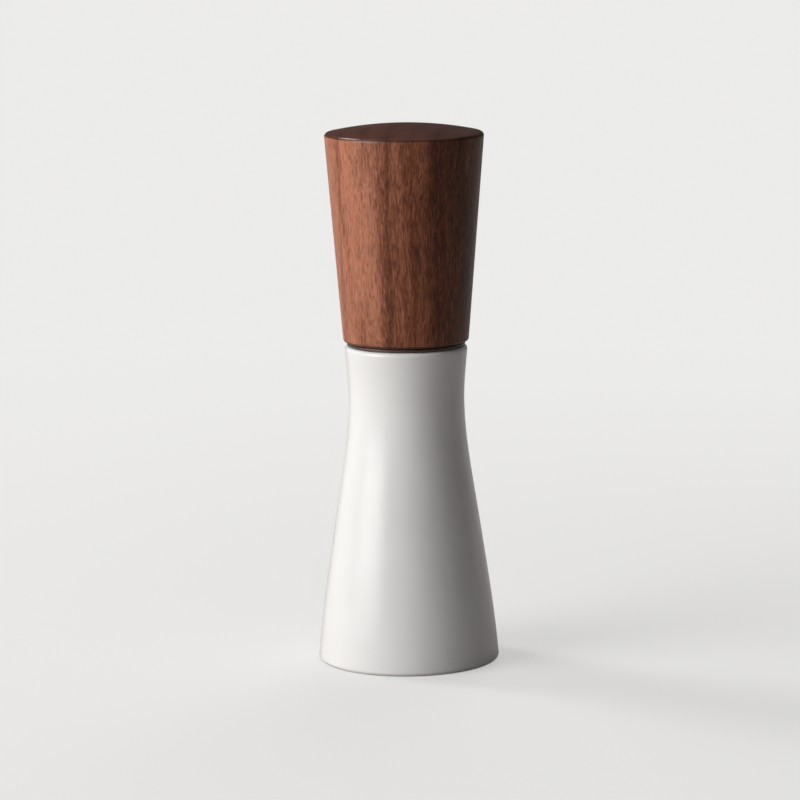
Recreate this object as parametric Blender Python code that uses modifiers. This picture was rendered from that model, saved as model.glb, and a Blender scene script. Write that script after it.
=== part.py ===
"""Pepper mill with a glazed ceramic body, a turned walnut head and conical ceramic burrs.

The axis of the mill is Z, its foot stands on z = 0, and every length is in metres.
The sizes run from the inside out: the shaft sets the drive socket, which sets the spigot, the collar,
the mouth of the body and the foot of the head; the burrs set the housing, which sets the base of the body.
"""

import math

import bmesh
import bpy
from mathutils import Matrix, Vector

MM = 0.001
TURN = 2 * math.pi

# Clearances
SEAT = 0.3 * MM  # between fixed neighbours
RUN = 0.4 * MM  # between faces that turn or slide past each other
JOURNAL_PLAY = 0.08 * MM  # round the journal, the one close running fit
RUBBER_SEAT = 0.15 * MM  # between a rubber ring and the wall it presses on

# Overall heights
BODY_HEIGHT = 118.2 * MM
HEAD_HEIGHT = 80.2 * MM

# Drive shaft
SHAFT_FLATS = 8.0 * MM
SHAFT_REACH = 37.0 * MM  # how far the shaft stands into the head
THREAD_RADIUS = 3.0 * MM
THREAD_LENGTH = 7.2 * MM
CLIP_GROOVE_DEPTH = 1.0 * MM
CLIP_THICKNESS = 1.0 * MM
CLIP_WIDTH = 3.6 * MM

# Drive socket and the band of screws round it
SOCKET_WALL = 2.0 * MM
SOCKET_LENGTH = 18.0 * MM
SCREW_BAND = 5.6 * MM
SOCKET_FLANGE_THICKNESS = 2.0 * MM
GRIP_WIRE_RADIUS = 0.5 * MM
GRIP_BELOW_FLANGE = 10.0 * MM
GRIP_OPENING = math.radians(70)

# Head insert: the plastic cup that carries the socket and ends in the spigot
INSERT_WALL = 2.0 * MM
INSERT_DEPTH = 25.1 * MM  # how deep the cup sits in the wood
WEB_THICKNESS = 2.2 * MM
FLANGE_ROOM = 1.2 * MM  # between the socket's flange and the wall of the cup
SPIGOT_LENGTH = 12.9 * MM
SPIGOT_FLANGE_WIDTH = 3.2 * MM
SPIGOT_FLANGE_THICKNESS = 1.2 * MM
SPIGOT_RING_RADIUS = 0.5 * MM
SPIGOT_RING_UP = 5.2 * MM  # from the spigot's lower end

# Neck collar and mouth of the body
COLLAR_WALL = 1.5 * MM
COLLAR_FLANGE_THICKNESS = 0.9 * MM
COLLAR_SET_BACK = 0.8 * MM  # how far the collar stands inside the lip
COLLAR_DEPTH = 12.0 * MM
LIP_WALL = 4.7 * MM
LIP_EDGE = 1.5 * MM
WAIST_WALL = 3.45 * MM
WAIST_BELOW_LIP = 19.7 * MM
MOUTH_DEPTH = 14.0 * MM
BODY_WALL = 3.4 * MM

# Walnut head
HEAD_OVERHANG = 0.6 * MM  # how far the foot of the head stands out over the lip
HEAD_FLARE = 6.05 * MM  # how much wider the rim is than the foot of the head
HEAD_FOOT_EDGE = 1.1 * MM
RIM_EDGE_WIDTH = 1.45 * MM
RIM_EDGE_HEIGHT = 1.5 * MM
DOME_RISE = 2.9 * MM
SHAFT_END_ROOM = 8.0 * MM
SHAFT_SIDE_ROOM = 1.4 * MM

# Burrs
BURR_HEIGHT = 9.7 * MM
EXIT_HEIGHT = 3.2 * MM  # the fine ring at the foot of the burrs
EXIT_RADIUS = 14.6 * MM
THROAT_RADIUS = 13.2 * MM
ENTRY_RADIUS = 15.5 * MM
EXIT_GAP = 0.9 * MM
THROAT_GAP = 1.6 * MM
CONE_TOP_RADIUS = 8.0 * MM
CONE_SKIRT = 0.7 * MM
TOOTH_DEPTH = 0.8 * MM
OUTER_TEETH = 18
INNER_TEETH = 14
OUTER_TWIST = math.radians(-16)
INNER_TWIST = math.radians(34)
OUTER_BURR_WALL = 1.8 * MM
SAW_TOOTH = [(0.0, 0.0), (0.22, 0.0), (0.62, 1.0)]

# Feed screw over the inner burr
FEED_HEIGHT = 4.7 * MM
FEED_HUB_RADIUS = 6.8 * MM
VANE_COUNT = 3
VANE_REACH = 13.4 * MM
VANE_THICKNESS = 1.3 * MM
VANE_SWEEP = math.radians(75)

# Spring, shaft journal and bridge
SPRING_LENGTH = 10.6 * MM
SPRING_TURNS = 5
SPRING_WIRE_RADIUS = 0.45 * MM
SPRING_COIL_RADIUS = 6.3 * MM
JOURNAL_WALL = 1.3 * MM
JOURNAL_FLANGE_WIDTH = 2.0 * MM
JOURNAL_FLANGE_THICKNESS = 1.5 * MM
HUB_HEIGHT = 5.0 * MM
HUB_WALL = 2.6 * MM
LEG_COUNT = 3
LEG_THICKNESS = 4.0 * MM
LEG_DEPTH = 2.9 * MM
BRIDGE_RING_HEIGHT = 2.6 * MM

# Grinder housing and what clamps it
HOUSING_WALL = 2.4 * MM
HOUSING_LEDGE = 1.6 * MM
LEDGE_HEIGHT = 1.7 * MM
HOUSING_FLANGE_WIDTH = 1.3 * MM
HOUSING_FLANGE_THICKNESS = 2.0 * MM
RETAINER_WIDTH = 2.1 * MM
RETAINER_THICKNESS = 2.0 * MM

# Adjusting knob
KNOB_RADIUS = 9.5 * MM
KNOB_HEIGHT = 5.8 * MM
KNOB_EDGE = 0.6 * MM
KNOB_FLUTES = 12
FLUTE_DEPTH = 0.8 * MM
FLUTE_OUTLINE = [(-0.25, 0.0), (0.0, 0.0), (0.25, 0.0), (0.42, 0.85), (0.58, 0.85)]
NUT_FLATS = 10.0 * MM
NUT_HEIGHT = 3.8 * MM
WASHER_THICKNESS = 1.0 * MM
WASHER_SET_BACK = 1.0 * MM
WASHER_BORE_ROOM = 0.5 * MM

# Base of the body, funnel and cover
BASE_RECESS = 6.0 * MM
COVER_THICKNESS = 1.7 * MM
FUNNEL_BAND = 8.0 * MM  # from the housing's bore to the funnel's outer wall
FUNNEL_WALL = 1.8 * MM
FUNNEL_RISE = 2.0 * MM
FUNNEL_RIBS = 6
RIB_THICKNESS = 1.4 * MM
SHOULDER_WIDTH = 1.6 * MM
SHOULDER_HEIGHT = 13.0 * MM
FOOT_WIDTH = 5.0 * MM
FOOT_EDGE = 1.5 * MM
FLARE_HEIGHT = 54.0 * MM
FLARE_DROP = 7.0 * MM  # how much the radius falls from the foot to the flare's steepest place
FOOT_SLOPE = -0.08
FLARE_SLOPE = -0.15
LIP_SLOPE = 0.09
GASKET_DEPTH = 1.0 * MM
GASKET_HEIGHT = 2.0 * MM
GASKET_UP = 1.2 * MM  # from the funnel's lower edge

# Screws
SCREW_COUNT = 3
SCREW_RADIUS = 1.2 * MM
SCREW_HEAD_RADIUS = 2.2 * MM
SCREW_HEAD_HEIGHT = 1.4 * MM
SCREW_LENGTH = 11.0 * MM  # under the head
CROSS_DEPTH = 0.8 * MM
CROSS_WIDTH = 0.7 * MM
BOSS_WALL = 1.0 * MM
SINK_SHARE = 0.75  # how much of a screw's head lies in the cover

# Facets round the axis
FACETS = 32
INNER_FACETS = 24
SMALL_FACETS = 12
ARC_STEPS = 3
SWEEP_STEPS = 4  # between two knots of the body's curve
SMOOTH_ANGLE = math.radians(30)

# Radii that follow from the shaft outwards
SHAFT_CORNER = SHAFT_FLATS / 2 / math.cos(TURN / 12)
HEX_HOLE_FLATS = SHAFT_FLATS + 2 * SEAT
HEX_HOLE_CORNER = HEX_HOLE_FLATS / 2 / math.cos(TURN / 12)
SOCKET_RADIUS = HEX_HOLE_CORNER + SOCKET_WALL
SOCKET_FLANGE_RADIUS = SOCKET_RADIUS + SCREW_BAND
INSERT_BORE = SOCKET_FLANGE_RADIUS + FLANGE_ROOM
SPIGOT_RADIUS = INSERT_BORE + INSERT_WALL
COLLAR_BORE = SPIGOT_RADIUS + RUN
COLLAR_RADIUS = COLLAR_BORE + COLLAR_WALL
MOUTH_RADIUS = COLLAR_RADIUS + SEAT
LIP_RADIUS = MOUTH_RADIUS + LIP_WALL
WAIST_RADIUS = MOUTH_RADIUS + WAIST_WALL
HEAD_FOOT_RADIUS = LIP_RADIUS + HEAD_OVERHANG
HEAD_RIM_RADIUS = HEAD_FOOT_RADIUS + HEAD_FLARE
INSERT_SCREW_CIRCLE = SOCKET_RADIUS + SCREW_BAND / 2
SPIGOT_FLANGE_RADIUS = SPIGOT_RADIUS + SPIGOT_FLANGE_WIDTH

# Radii that follow from the burrs outwards
OUTER_BURR_RADIUS = ENTRY_RADIUS + OUTER_BURR_WALL
HOUSING_BORE = OUTER_BURR_RADIUS + SEAT
HOUSING_RADIUS = HOUSING_BORE + HOUSING_WALL
FUNNEL_BORE = HOUSING_RADIUS + SEAT
FUNNEL_RADIUS = FUNNEL_BORE + FUNNEL_BAND
BASE_BORE = FUNNEL_RADIUS + SEAT
BASE_RADIUS = BASE_BORE + FOOT_WIDTH
SHOULDER_BORE = BASE_BORE - SHOULDER_WIDTH
FUNNEL_TOP_RADIUS = SHOULDER_BORE - SEAT
HOUSING_FLANGE_RADIUS = HOUSING_RADIUS + HOUSING_FLANGE_WIDTH
RETAINER_BORE = OUTER_BURR_RADIUS - RETAINER_WIDTH
COVER_BORE = RETAINER_BORE + SEAT
JOURNAL_RADIUS = HEX_HOLE_CORNER + JOURNAL_WALL
HUB_BORE = (JOURNAL_RADIUS + JOURNAL_PLAY) / math.cos(TURN / 2 / INNER_FACETS)
HUB_RADIUS = HUB_BORE + HUB_WALL
JOURNAL_FLANGE_RADIUS = JOURNAL_RADIUS + JOURNAL_FLANGE_WIDTH
GASKET_GROOVE = FUNNEL_RADIUS - GASKET_DEPTH
SCREW_HOLE = SCREW_RADIUS + SEAT
BOSS_RADIUS = SCREW_HOLE + BOSS_WALL
COVER_SCREW_CIRCLE = FUNNEL_TOP_RADIUS - BOSS_RADIUS - SEAT

# Heights of the base, upwards from the table
COVER_TOP = BASE_RECESS + COVER_THICKNESS
SINK_TOP = BASE_RECESS + SINK_SHARE * SCREW_HEAD_HEIGHT
HOUSING_FOOT = COVER_TOP + SEAT
FUNNEL_FOOT = COVER_TOP + SEAT
HOUSING_FLANGE_TOP = HOUSING_FOOT + HOUSING_FLANGE_THICKNESS
RETAINER_TOP = HOUSING_FOOT + RETAINER_THICKNESS
OUTER_BURR_FOOT = RETAINER_TOP + SEAT
OUTER_BURR_TOP = OUTER_BURR_FOOT + BURR_HEIGHT
HOUSING_TOP = OUTER_BURR_TOP + SEAT + LEDGE_HEIGHT
INNER_BURR_FOOT = OUTER_BURR_FOOT - CONE_SKIRT
WASHER_TOP = INNER_BURR_FOOT - SEAT
WASHER_FOOT = WASHER_TOP - WASHER_THICKNESS
KNOB_TOP = WASHER_FOOT - SEAT
KNOB_FOOT = KNOB_TOP - KNOB_HEIGHT
NUT_TOP = KNOB_TOP - SEAT
FEED_FOOT = OUTER_BURR_TOP + SEAT
FEED_TOP = FEED_FOOT + FEED_HEIGHT
SPRING_FOOT = FEED_TOP + SEAT
JOURNAL_FOOT = SPRING_FOOT + SPRING_LENGTH + SEAT
HUB_FOOT = JOURNAL_FOOT + JOURNAL_FLANGE_THICKNESS + SEAT
HUB_TOP = HUB_FOOT + HUB_HEIGHT
JOURNAL_TOP = HUB_TOP + SEAT
CLIP_FOOT = JOURNAL_TOP + SEAT
BRIDGE_FOOT = HOUSING_TOP + SEAT
FUNNEL_TOP = BRIDGE_FOOT + FUNNEL_RISE
SHAFT_FOOT = KNOB_FOOT + SEAT
HEX_FOOT = SHAFT_FOOT + THREAD_LENGTH

# Heights of the neck and the head
COLLAR_SEAT = BODY_HEIGHT + SEAT
COLLAR_TOP = COLLAR_SEAT + COLLAR_FLANGE_THICKNESS
HEAD_FOOT = COLLAR_TOP + RUN
HEAD_TOP = HEAD_FOOT + HEAD_HEIGHT
SPIGOT_FOOT = HEAD_FOOT - SPIGOT_LENGTH
INSERT_TOP = HEAD_FOOT + INSERT_DEPTH
WEB_FOOT = INSERT_TOP - WEB_THICKNESS
SOCKET_FLANGE_TOP = WEB_FOOT - SEAT
SOCKET_FLANGE_FOOT = SOCKET_FLANGE_TOP - SOCKET_FLANGE_THICKNESS
SHAFT_TOP = HEAD_FOOT + SHAFT_REACH
GRIP_HEIGHT = SOCKET_FLANGE_FOOT - GRIP_BELOW_FLANGE
WAIST_HEIGHT = BODY_HEIGHT - WAIST_BELOW_LIP


# ---------------------------------------------------------------------------
# Scene, materials and general shapes
# ---------------------------------------------------------------------------


def clear_scene():
    """Removes whatever the file held and makes the two collections."""
    for obj in list(bpy.data.objects):
        bpy.data.objects.remove(obj)
    made = []
    for title in ("pepper_mill", "cutters"):
        collection = bpy.data.collections.new(title)
        bpy.context.scene.collection.children.link(collection)
        made.append(collection)
    return made


PARTS, CUTTERS = clear_scene()


def finish(name, colour, roughness, metallic=0.0):
    """A plain Principled material."""
    material = bpy.data.materials.new(name)
    material.use_nodes = True
    shader = material.node_tree.nodes["Principled BSDF"]
    shader.inputs["Base Color"].default_value = (*colour, 1.0)
    shader.inputs["Roughness"].default_value = roughness
    shader.inputs["Metallic"].default_value = metallic
    return material


WALNUT = finish("walnut", (0.22, 0.085, 0.042), 0.42)
GLAZE = finish("white_glaze", (0.86, 0.86, 0.85), 0.12)
BURR_CERAMIC = finish("burr_ceramic", (0.80, 0.78, 0.73), 0.55)
COLLAR_PLASTIC = finish("collar_plastic", (0.055, 0.038, 0.032), 0.40)
BLACK_PLASTIC = finish("black_plastic", (0.030, 0.028, 0.027), 0.45)
GREY_PLASTIC = finish("grey_plastic", (0.30, 0.30, 0.29), 0.45)
SILICONE = finish("silicone", (0.18, 0.17, 0.16), 0.60)
ALUMINIUM = finish("aluminium", (0.78, 0.78, 0.79), 0.32, 1.0)
STEEL = finish("steel", (0.60, 0.60, 0.61), 0.25, 1.0)
BRASS = finish("brass", (0.72, 0.52, 0.22), 0.28, 1.0)


def place(name, mesh, material=None, helper=False):
    """Puts a mesh in the scene as a part, or as a hidden helper."""
    obj = bpy.data.objects.new(name, mesh)
    (CUTTERS if helper else PARTS).objects.link(obj)
    if material:
        mesh.materials.append(material)
    if helper:
        obj.hide_render = True
        obj.display_type = "WIRE"
    return obj


def from_bmesh(name, bm, material=None, helper=False):
    """Turns a bmesh with outward normals into an object."""
    bmesh.ops.recalc_face_normals(bm, faces=bm.faces)
    mesh = bpy.data.meshes.new(name)
    bm.to_mesh(mesh)
    bm.free()
    return place(name, mesh, material, helper)


def arc(centre, radii, start, end, steps=ARC_STEPS):
    """Points on a quarter or half ellipse in the (radius, height) plane; angles in degrees."""
    (r, z), (a, b) = centre, radii
    angles = [math.radians(start + (end - start) * i / steps) for i in range(steps + 1)]
    return [(r + a * math.cos(t), z + b * math.sin(t)) for t in angles]


def turned(name, profile, material=None, facets=FACETS, helper=False):
    """A body of revolution. The profile runs down its outer side and, where it's hollow, up its bore."""
    mesh = bpy.data.meshes.new(name)
    hollow = all(r > 0 for r, _ in profile)
    edges = [(i, i + 1) for i in range(len(profile) - 1)]
    if hollow:
        edges.append((len(profile) - 1, 0))
    mesh.from_pydata([(r, 0, z) for r, z in profile], edges, [])
    obj = place(name, mesh, material, helper)
    screw = obj.modifiers.new("turn", "SCREW")
    screw.axis = "Z"
    screw.angle = TURN
    screw.steps = screw.render_steps = facets
    screw.use_merge_vertices = True
    screw.merge_threshold = 1e-6
    return obj


def ring_profile(outer, inner, foot, top):
    """The four corners of a plain ring."""
    return [(outer, top), (outer, foot), (inner, foot), (inner, top)]


def prism(name, flats_or_radius, foot, top, sides, material=None, helper=False, centre=(0, 0)):
    """A hexagonal bar by its width over flats, or a round bar by its radius."""
    radius = flats_or_radius / 2 / math.cos(TURN / 12) if sides == 6 else flats_or_radius
    bm = bmesh.new()
    bmesh.ops.create_cone(
        bm,
        cap_ends=True,
        segments=sides,
        radius1=radius,
        radius2=radius,
        depth=top - foot,
        matrix=Matrix.Translation((*centre, (foot + top) / 2)),
    )
    return from_bmesh(name, bm, material, helper)


def round_helper(name, radius, foot, top, centre=(0, 0)):
    """A hidden round bar, to cut or join with."""
    return prism(name, radius, foot, top, SMALL_FACETS, helper=True, centre=centre)


def block(name, low, high, angle=0.0):
    """A helper box between two corners, turned about the axis of the mill."""
    size = Vector(high) - Vector(low)
    middle = (Vector(high) + Vector(low)) / 2
    bm = bmesh.new()
    spin = Matrix.Rotation(angle, 4, "Z")
    bmesh.ops.create_cube(bm, size=1, matrix=spin @ Matrix.Translation(middle) @ Matrix.Diagonal((*size, 1)))
    return from_bmesh(name, bm, helper=True)


def boolean(target, other, operation):
    modifier = target.modifiers.new(other.name, "BOOLEAN")
    modifier.operation = operation
    modifier.object = other


def cut(target, *cutters):
    for cutter in cutters:
        boolean(target, cutter, "DIFFERENCE")


def join(target, *others):
    for other in others:
        boolean(target, other, "UNION")


def around(count, radius, first=TURN / 4):
    """The angle and the (x, y) place of each of a ring of equal pieces."""
    for i in range(count):
        angle = first + TURN * i / count
        yield angle, (radius * math.cos(angle), radius * math.sin(angle))


def toothed(name, levels, teeth, outline, material=None, helper=False):
    """A loft of toothed rings: each level is (height, tip radius, tooth depth, twist).

    The outline of one tooth is a list of (share of the pitch, share of the depth).
    """
    bm = bmesh.new()
    rings = []
    for z, tip, depth, twist in levels:
        ring = []
        for i in range(teeth):
            for along, down in outline:
                radius = tip - depth * down
                angle = twist + TURN * (i + along) / teeth
                ring.append(bm.verts.new((radius * math.cos(angle), radius * math.sin(angle), z)))
        rings.append(ring)
    for low, high in zip(rings, rings[1:]):
        for i in range(len(low)):
            j = (i + 1) % len(low)
            bm.faces.new((low[i], low[j], high[j], high[i]))
    bm.faces.new(rings[0])
    bm.faces.new(rings[-1])
    bmesh.ops.triangulate(bm, faces=[f for f in bm.faces if len(f.verts) > 3])
    return from_bmesh(name, bm, material, helper)


def wire(name, points, radius, material):
    """A round wire along a list of points, with filled ends."""
    curve = bpy.data.curves.new(name, "CURVE")
    curve.dimensions = "3D"
    curve.bevel_depth = radius
    curve.bevel_resolution = 1
    curve.use_fill_caps = True
    spline = curve.splines.new("POLY")
    spline.points.add(len(points) - 1)
    for point, place_at in zip(spline.points, points):
        point.co = (*place_at, 1.0)
    curve.materials.append(material)
    obj = bpy.data.objects.new(name, curve)
    PARTS.objects.link(obj)
    return obj


def screw_part(name, centre, seat):
    """A cross-head screw driven upwards, with the flat side of its head at the seat."""
    head = seat - SCREW_HEAD_HEIGHT
    tip = seat + SCREW_LENGTH
    profile = [
        (0, tip),
        (SCREW_RADIUS, tip - SCREW_RADIUS),
        (SCREW_RADIUS, seat),
        (SCREW_HEAD_RADIUS, seat),
        (SCREW_HEAD_RADIUS, head + SCREW_HEAD_HEIGHT * 0.4),
        (SCREW_HEAD_RADIUS * 0.8, head),
        (0, head),
    ]
    screw = turned(name, profile, STEEL, SMALL_FACETS)
    screw.location = (*centre, 0)
    arm = SCREW_HEAD_RADIUS * 0.62
    for index, (x, y) in enumerate(((arm, CROSS_WIDTH / 2), (CROSS_WIDTH / 2, arm))):
        slot = block(f"{name}_slot_{index}", (-x, -y, head - MM), (x, y, head + CROSS_DEPTH))
        slot.location = (*centre, 0)
        cut(screw, slot)
    return screw


# ---------------------------------------------------------------------------
# Body
# ---------------------------------------------------------------------------


def hermite(z, low, high):
    """Radius at height z on a smooth curve between two knots of (height, radius, slope)."""
    (z0, r0, m0), (z1, r1, m1) = low, high
    span = z1 - z0
    u = (z - z0) / span
    rise = (2 * u**3 - 3 * u**2 + 1) * r0 + (u**3 - 2 * u**2 + u) * span * m0
    return rise + (3 * u**2 - 2 * u**3) * r1 + (u**3 - u**2) * span * m1


BODY_KNOTS = [
    (FOOT_EDGE, BASE_RADIUS, FOOT_SLOPE),
    (FLARE_HEIGHT, BASE_RADIUS - FLARE_DROP, FLARE_SLOPE),
    (WAIST_HEIGHT, WAIST_RADIUS, 0.0),
    (BODY_HEIGHT - LIP_EDGE, LIP_RADIUS, LIP_SLOPE),
]


def body_radius(z):
    """Outer radius of the ceramic body at a height."""
    for low, high in zip(BODY_KNOTS, BODY_KNOTS[1:]):
        if z <= high[0]:
            return hermite(z, low, high)
    return LIP_RADIUS


def spread(low, high, steps):
    """Evenly spaced heights, both ends included."""
    return [low + (high - low) * i / steps for i in range(steps + 1)]


def body_shell():
    heights = []
    for (low, _, _), (high, _, _) in zip(BODY_KNOTS, BODY_KNOTS[1:]):
        heights += spread(low, high, SWEEP_STEPS)[1:]
    outside = [(body_radius(z), z) for z in reversed(heights)]
    lip = arc((LIP_RADIUS - LIP_EDGE, BODY_HEIGHT - LIP_EDGE), (LIP_EDGE, LIP_EDGE), 90, 0)[:-1]
    foot = arc((BASE_RADIUS - FOOT_EDGE, FOOT_EDGE), (FOOT_EDGE, FOOT_EDGE), 0, -90)
    chamber_top = BODY_HEIGHT - MOUTH_DEPTH
    chamber = [
        (min(body_radius(z) - BODY_WALL, SHOULDER_BORE), z)
        for z in spread(FUNNEL_TOP, chamber_top - MOUTH_DEPTH / 2, SWEEP_STEPS)
    ]
    inside = [
        (BASE_BORE, 0),
        (BASE_BORE, SHOULDER_HEIGHT),
        (SHOULDER_BORE, SHOULDER_HEIGHT),
        *chamber,
        (MOUTH_RADIUS, chamber_top),
        (MOUTH_RADIUS, BODY_HEIGHT),
    ]
    return turned("body_shell", lip + outside + foot + inside, GLAZE)


def neck_collar():
    profile = [
        (LIP_RADIUS - COLLAR_SET_BACK, COLLAR_TOP),
        (LIP_RADIUS - COLLAR_SET_BACK, COLLAR_SEAT),
        (COLLAR_RADIUS, COLLAR_SEAT),
        (COLLAR_RADIUS, BODY_HEIGHT - COLLAR_DEPTH),
        (COLLAR_BORE, BODY_HEIGHT - COLLAR_DEPTH),
        (COLLAR_BORE, COLLAR_TOP),
    ]
    return turned("neck_collar", profile, COLLAR_PLASTIC)


# ---------------------------------------------------------------------------
# Base: funnel, gasket, cover, housing
# ---------------------------------------------------------------------------


def base_funnel():
    groove_foot = FUNNEL_FOOT + GASKET_UP
    groove_top = groove_foot + GASKET_HEIGHT + 2 * RUBBER_SEAT
    step = SHOULDER_HEIGHT - SEAT
    hub = FUNNEL_BORE + FUNNEL_WALL
    profile = [
        (FUNNEL_TOP_RADIUS, FUNNEL_TOP),
        (FUNNEL_TOP_RADIUS, step),
        (FUNNEL_RADIUS, step),
        (FUNNEL_RADIUS, groove_top),
        (GASKET_GROOVE, groove_top),
        (GASKET_GROOVE, groove_foot),
        (FUNNEL_RADIUS, groove_foot),
        (FUNNEL_RADIUS, FUNNEL_FOOT),
        (GASKET_GROOVE - FUNNEL_WALL, FUNNEL_FOOT),
        (GASKET_GROOVE - FUNNEL_WALL, step - FUNNEL_WALL),
        (FUNNEL_TOP_RADIUS - FUNNEL_WALL, step - FUNNEL_WALL),
        (FUNNEL_TOP_RADIUS - FUNNEL_WALL, FUNNEL_TOP - 2 * FUNNEL_WALL),
        (hub, FUNNEL_TOP - FUNNEL_RISE - FUNNEL_WALL),
        (hub, HOUSING_FLANGE_TOP + SEAT),
        (FUNNEL_BORE, HOUSING_FLANGE_TOP + SEAT),
        (FUNNEL_BORE, FUNNEL_TOP - FUNNEL_RISE),
    ]
    funnel = turned("base_funnel", profile, BLACK_PLASTIC)
    overlap = FUNNEL_WALL / 2
    boss_foot = HOUSING_FLANGE_TOP + SEAT
    for i, (_, centre) in enumerate(around(SCREW_COUNT, COVER_SCREW_CIRCLE)):
        top = FUNNEL_TOP - 2 * FUNNEL_WALL
        join(funnel, round_helper(f"boss_{i}", BOSS_RADIUS, boss_foot, top, centre))
    for i, (angle, _) in enumerate(around(FUNNEL_RIBS, 1, TURN / 4 + TURN / 12)):
        low = (hub - overlap, -RIB_THICKNESS / 2, boss_foot)
        high = (FUNNEL_TOP_RADIUS - overlap, RIB_THICKNESS / 2, FUNNEL_TOP - FUNNEL_RISE - FUNNEL_WALL / 2)
        join(funnel, block(f"rib_{i}", low, high, angle))
    for i, (_, centre) in enumerate(around(SCREW_COUNT, COVER_SCREW_CIRCLE)):
        cut(funnel, round_helper(f"boss_hole_{i}", SCREW_HOLE, COVER_TOP, COVER_TOP + SCREW_LENGTH, centre))
    return funnel


def base_gasket():
    foot = FUNNEL_FOOT + GASKET_UP + RUBBER_SEAT
    profile = ring_profile(
        BASE_BORE - RUBBER_SEAT, GASKET_GROOVE + RUBBER_SEAT, foot, foot + GASKET_HEIGHT
    )
    return turned("base_gasket", profile, SILICONE)


def base_cover():
    profile = ring_profile(FUNNEL_RADIUS, COVER_BORE, BASE_RECESS, COVER_TOP)
    cover = turned("base_cover", profile, BLACK_PLASTIC)
    for i, (_, centre) in enumerate(around(SCREW_COUNT, COVER_SCREW_CIRCLE)):
        cut(
            cover,
            round_helper(f"cover_hole_{i}", SCREW_HOLE, 0, SHOULDER_HEIGHT, centre),
            round_helper(f"cover_sink_{i}", SCREW_HEAD_RADIUS + SEAT, 0, SINK_TOP, centre),
        )
    return cover


def cover_screws():
    seat = SINK_TOP - SEAT
    places = enumerate(around(SCREW_COUNT, COVER_SCREW_CIRCLE), 1)
    return [screw_part(f"cover_screw_{i}", centre, seat) for i, (_, centre) in places]


def grinder_housing():
    ledge_foot = OUTER_BURR_TOP + SEAT
    profile = [
        (HOUSING_RADIUS, HOUSING_TOP),
        (HOUSING_RADIUS, HOUSING_FLANGE_TOP),
        (HOUSING_FLANGE_RADIUS, HOUSING_FLANGE_TOP),
        (HOUSING_FLANGE_RADIUS, HOUSING_FOOT),
        (HOUSING_BORE, HOUSING_FOOT),
        (HOUSING_BORE, ledge_foot),
        (HOUSING_BORE - HOUSING_LEDGE, ledge_foot),
        (HOUSING_BORE - HOUSING_LEDGE, HOUSING_TOP),
    ]
    return turned("grinder_housing", profile, GREY_PLASTIC)


def burr_retainer():
    profile = ring_profile(OUTER_BURR_RADIUS, RETAINER_BORE, HOUSING_FOOT, RETAINER_TOP)
    return turned("burr_retainer", profile, BLACK_PLASTIC)


def outer_burr():
    burr = turned(
        "outer_burr", ring_profile(OUTER_BURR_RADIUS, MM, OUTER_BURR_FOOT, OUTER_BURR_TOP), BURR_CERAMIC
    )
    throat = OUTER_BURR_FOOT + EXIT_HEIGHT
    outside = EXIT_HEIGHT  # how far the cutter runs past the ring at both ends
    flare = (EXIT_RADIUS - THROAT_RADIUS) / EXIT_HEIGHT
    taper = (ENTRY_RADIUS - THROAT_RADIUS) / (OUTER_BURR_TOP - throat)
    levels = [
        (OUTER_BURR_FOOT - outside, EXIT_RADIUS + flare * outside, -1.0),
        (throat, THROAT_RADIUS, 0.0),
        (OUTER_BURR_TOP + outside, ENTRY_RADIUS + taper * outside, 1.0),
    ]
    cutter = toothed(
        "outer_burr_teeth",
        [(z, tip + TOOTH_DEPTH, TOOTH_DEPTH, OUTER_TWIST * turn) for z, tip, turn in levels],
        OUTER_TEETH,
        SAW_TOOTH,
        helper=True,
    )
    cut(burr, cutter)
    return burr


def shaft_bridge():
    """A ring on the housing, a hub round the shaft and legs between them."""
    ring_outer = HOUSING_RADIUS
    ring_inner = HOUSING_BORE - HOUSING_LEDGE
    profile = ring_profile(ring_outer, ring_inner, BRIDGE_FOOT, BRIDGE_FOOT + BRIDGE_RING_HEIGHT)
    bridge = turned("shaft_bridge", profile, GREY_PLASTIC)
    hub_profile = ring_profile(HUB_RADIUS, HUB_BORE, HUB_FOOT, HUB_TOP)
    hub = turned("bridge_hub", hub_profile, facets=INNER_FACETS, helper=True)
    join(bridge, hub)
    mid = (ring_outer + ring_inner) / 2
    low = BRIDGE_FOOT + BRIDGE_RING_HEIGHT / 2
    knee = HUB_FOOT - LEG_DEPTH
    outline = [
        (mid - LEG_DEPTH / 2, low),
        (mid + LEG_DEPTH / 2, low),
        (mid + LEG_DEPTH / 2, knee),
        (HUB_RADIUS - HUB_WALL / 2, HUB_TOP - SEAT),
        (HUB_RADIUS - HUB_WALL / 2, HUB_FOOT + SEAT),
        (mid - LEG_DEPTH / 2, knee - LEG_DEPTH / 2),
    ]
    for i, (angle, _) in enumerate(around(LEG_COUNT, 1)):
        bm = bmesh.new()
        half = LEG_THICKNESS / 2
        face = bm.faces.new([bm.verts.new((r, -half, z)) for r, z in outline])
        made = bmesh.ops.extrude_face_region(bm, geom=[face])["geom"]
        sides = [v for v in made if isinstance(v, bmesh.types.BMVert)]
        bmesh.ops.translate(bm, verts=sides, vec=(0, LEG_THICKNESS, 0))
        bmesh.ops.rotate(bm, verts=bm.verts, cent=(0, 0, 0), matrix=Matrix.Rotation(angle, 3, "Z"))
        join(bridge, from_bmesh(f"bridge_leg_{i}", bm, helper=True))
    return bridge


# ---------------------------------------------------------------------------
# Shaft, inner burr and knob
# ---------------------------------------------------------------------------


def hex_hole(name, foot, top):
    """A cutter for the hole that rides on the shaft."""
    return prism(name, HEX_HOLE_FLATS, foot - MM, top + MM, 6, helper=True)


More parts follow.
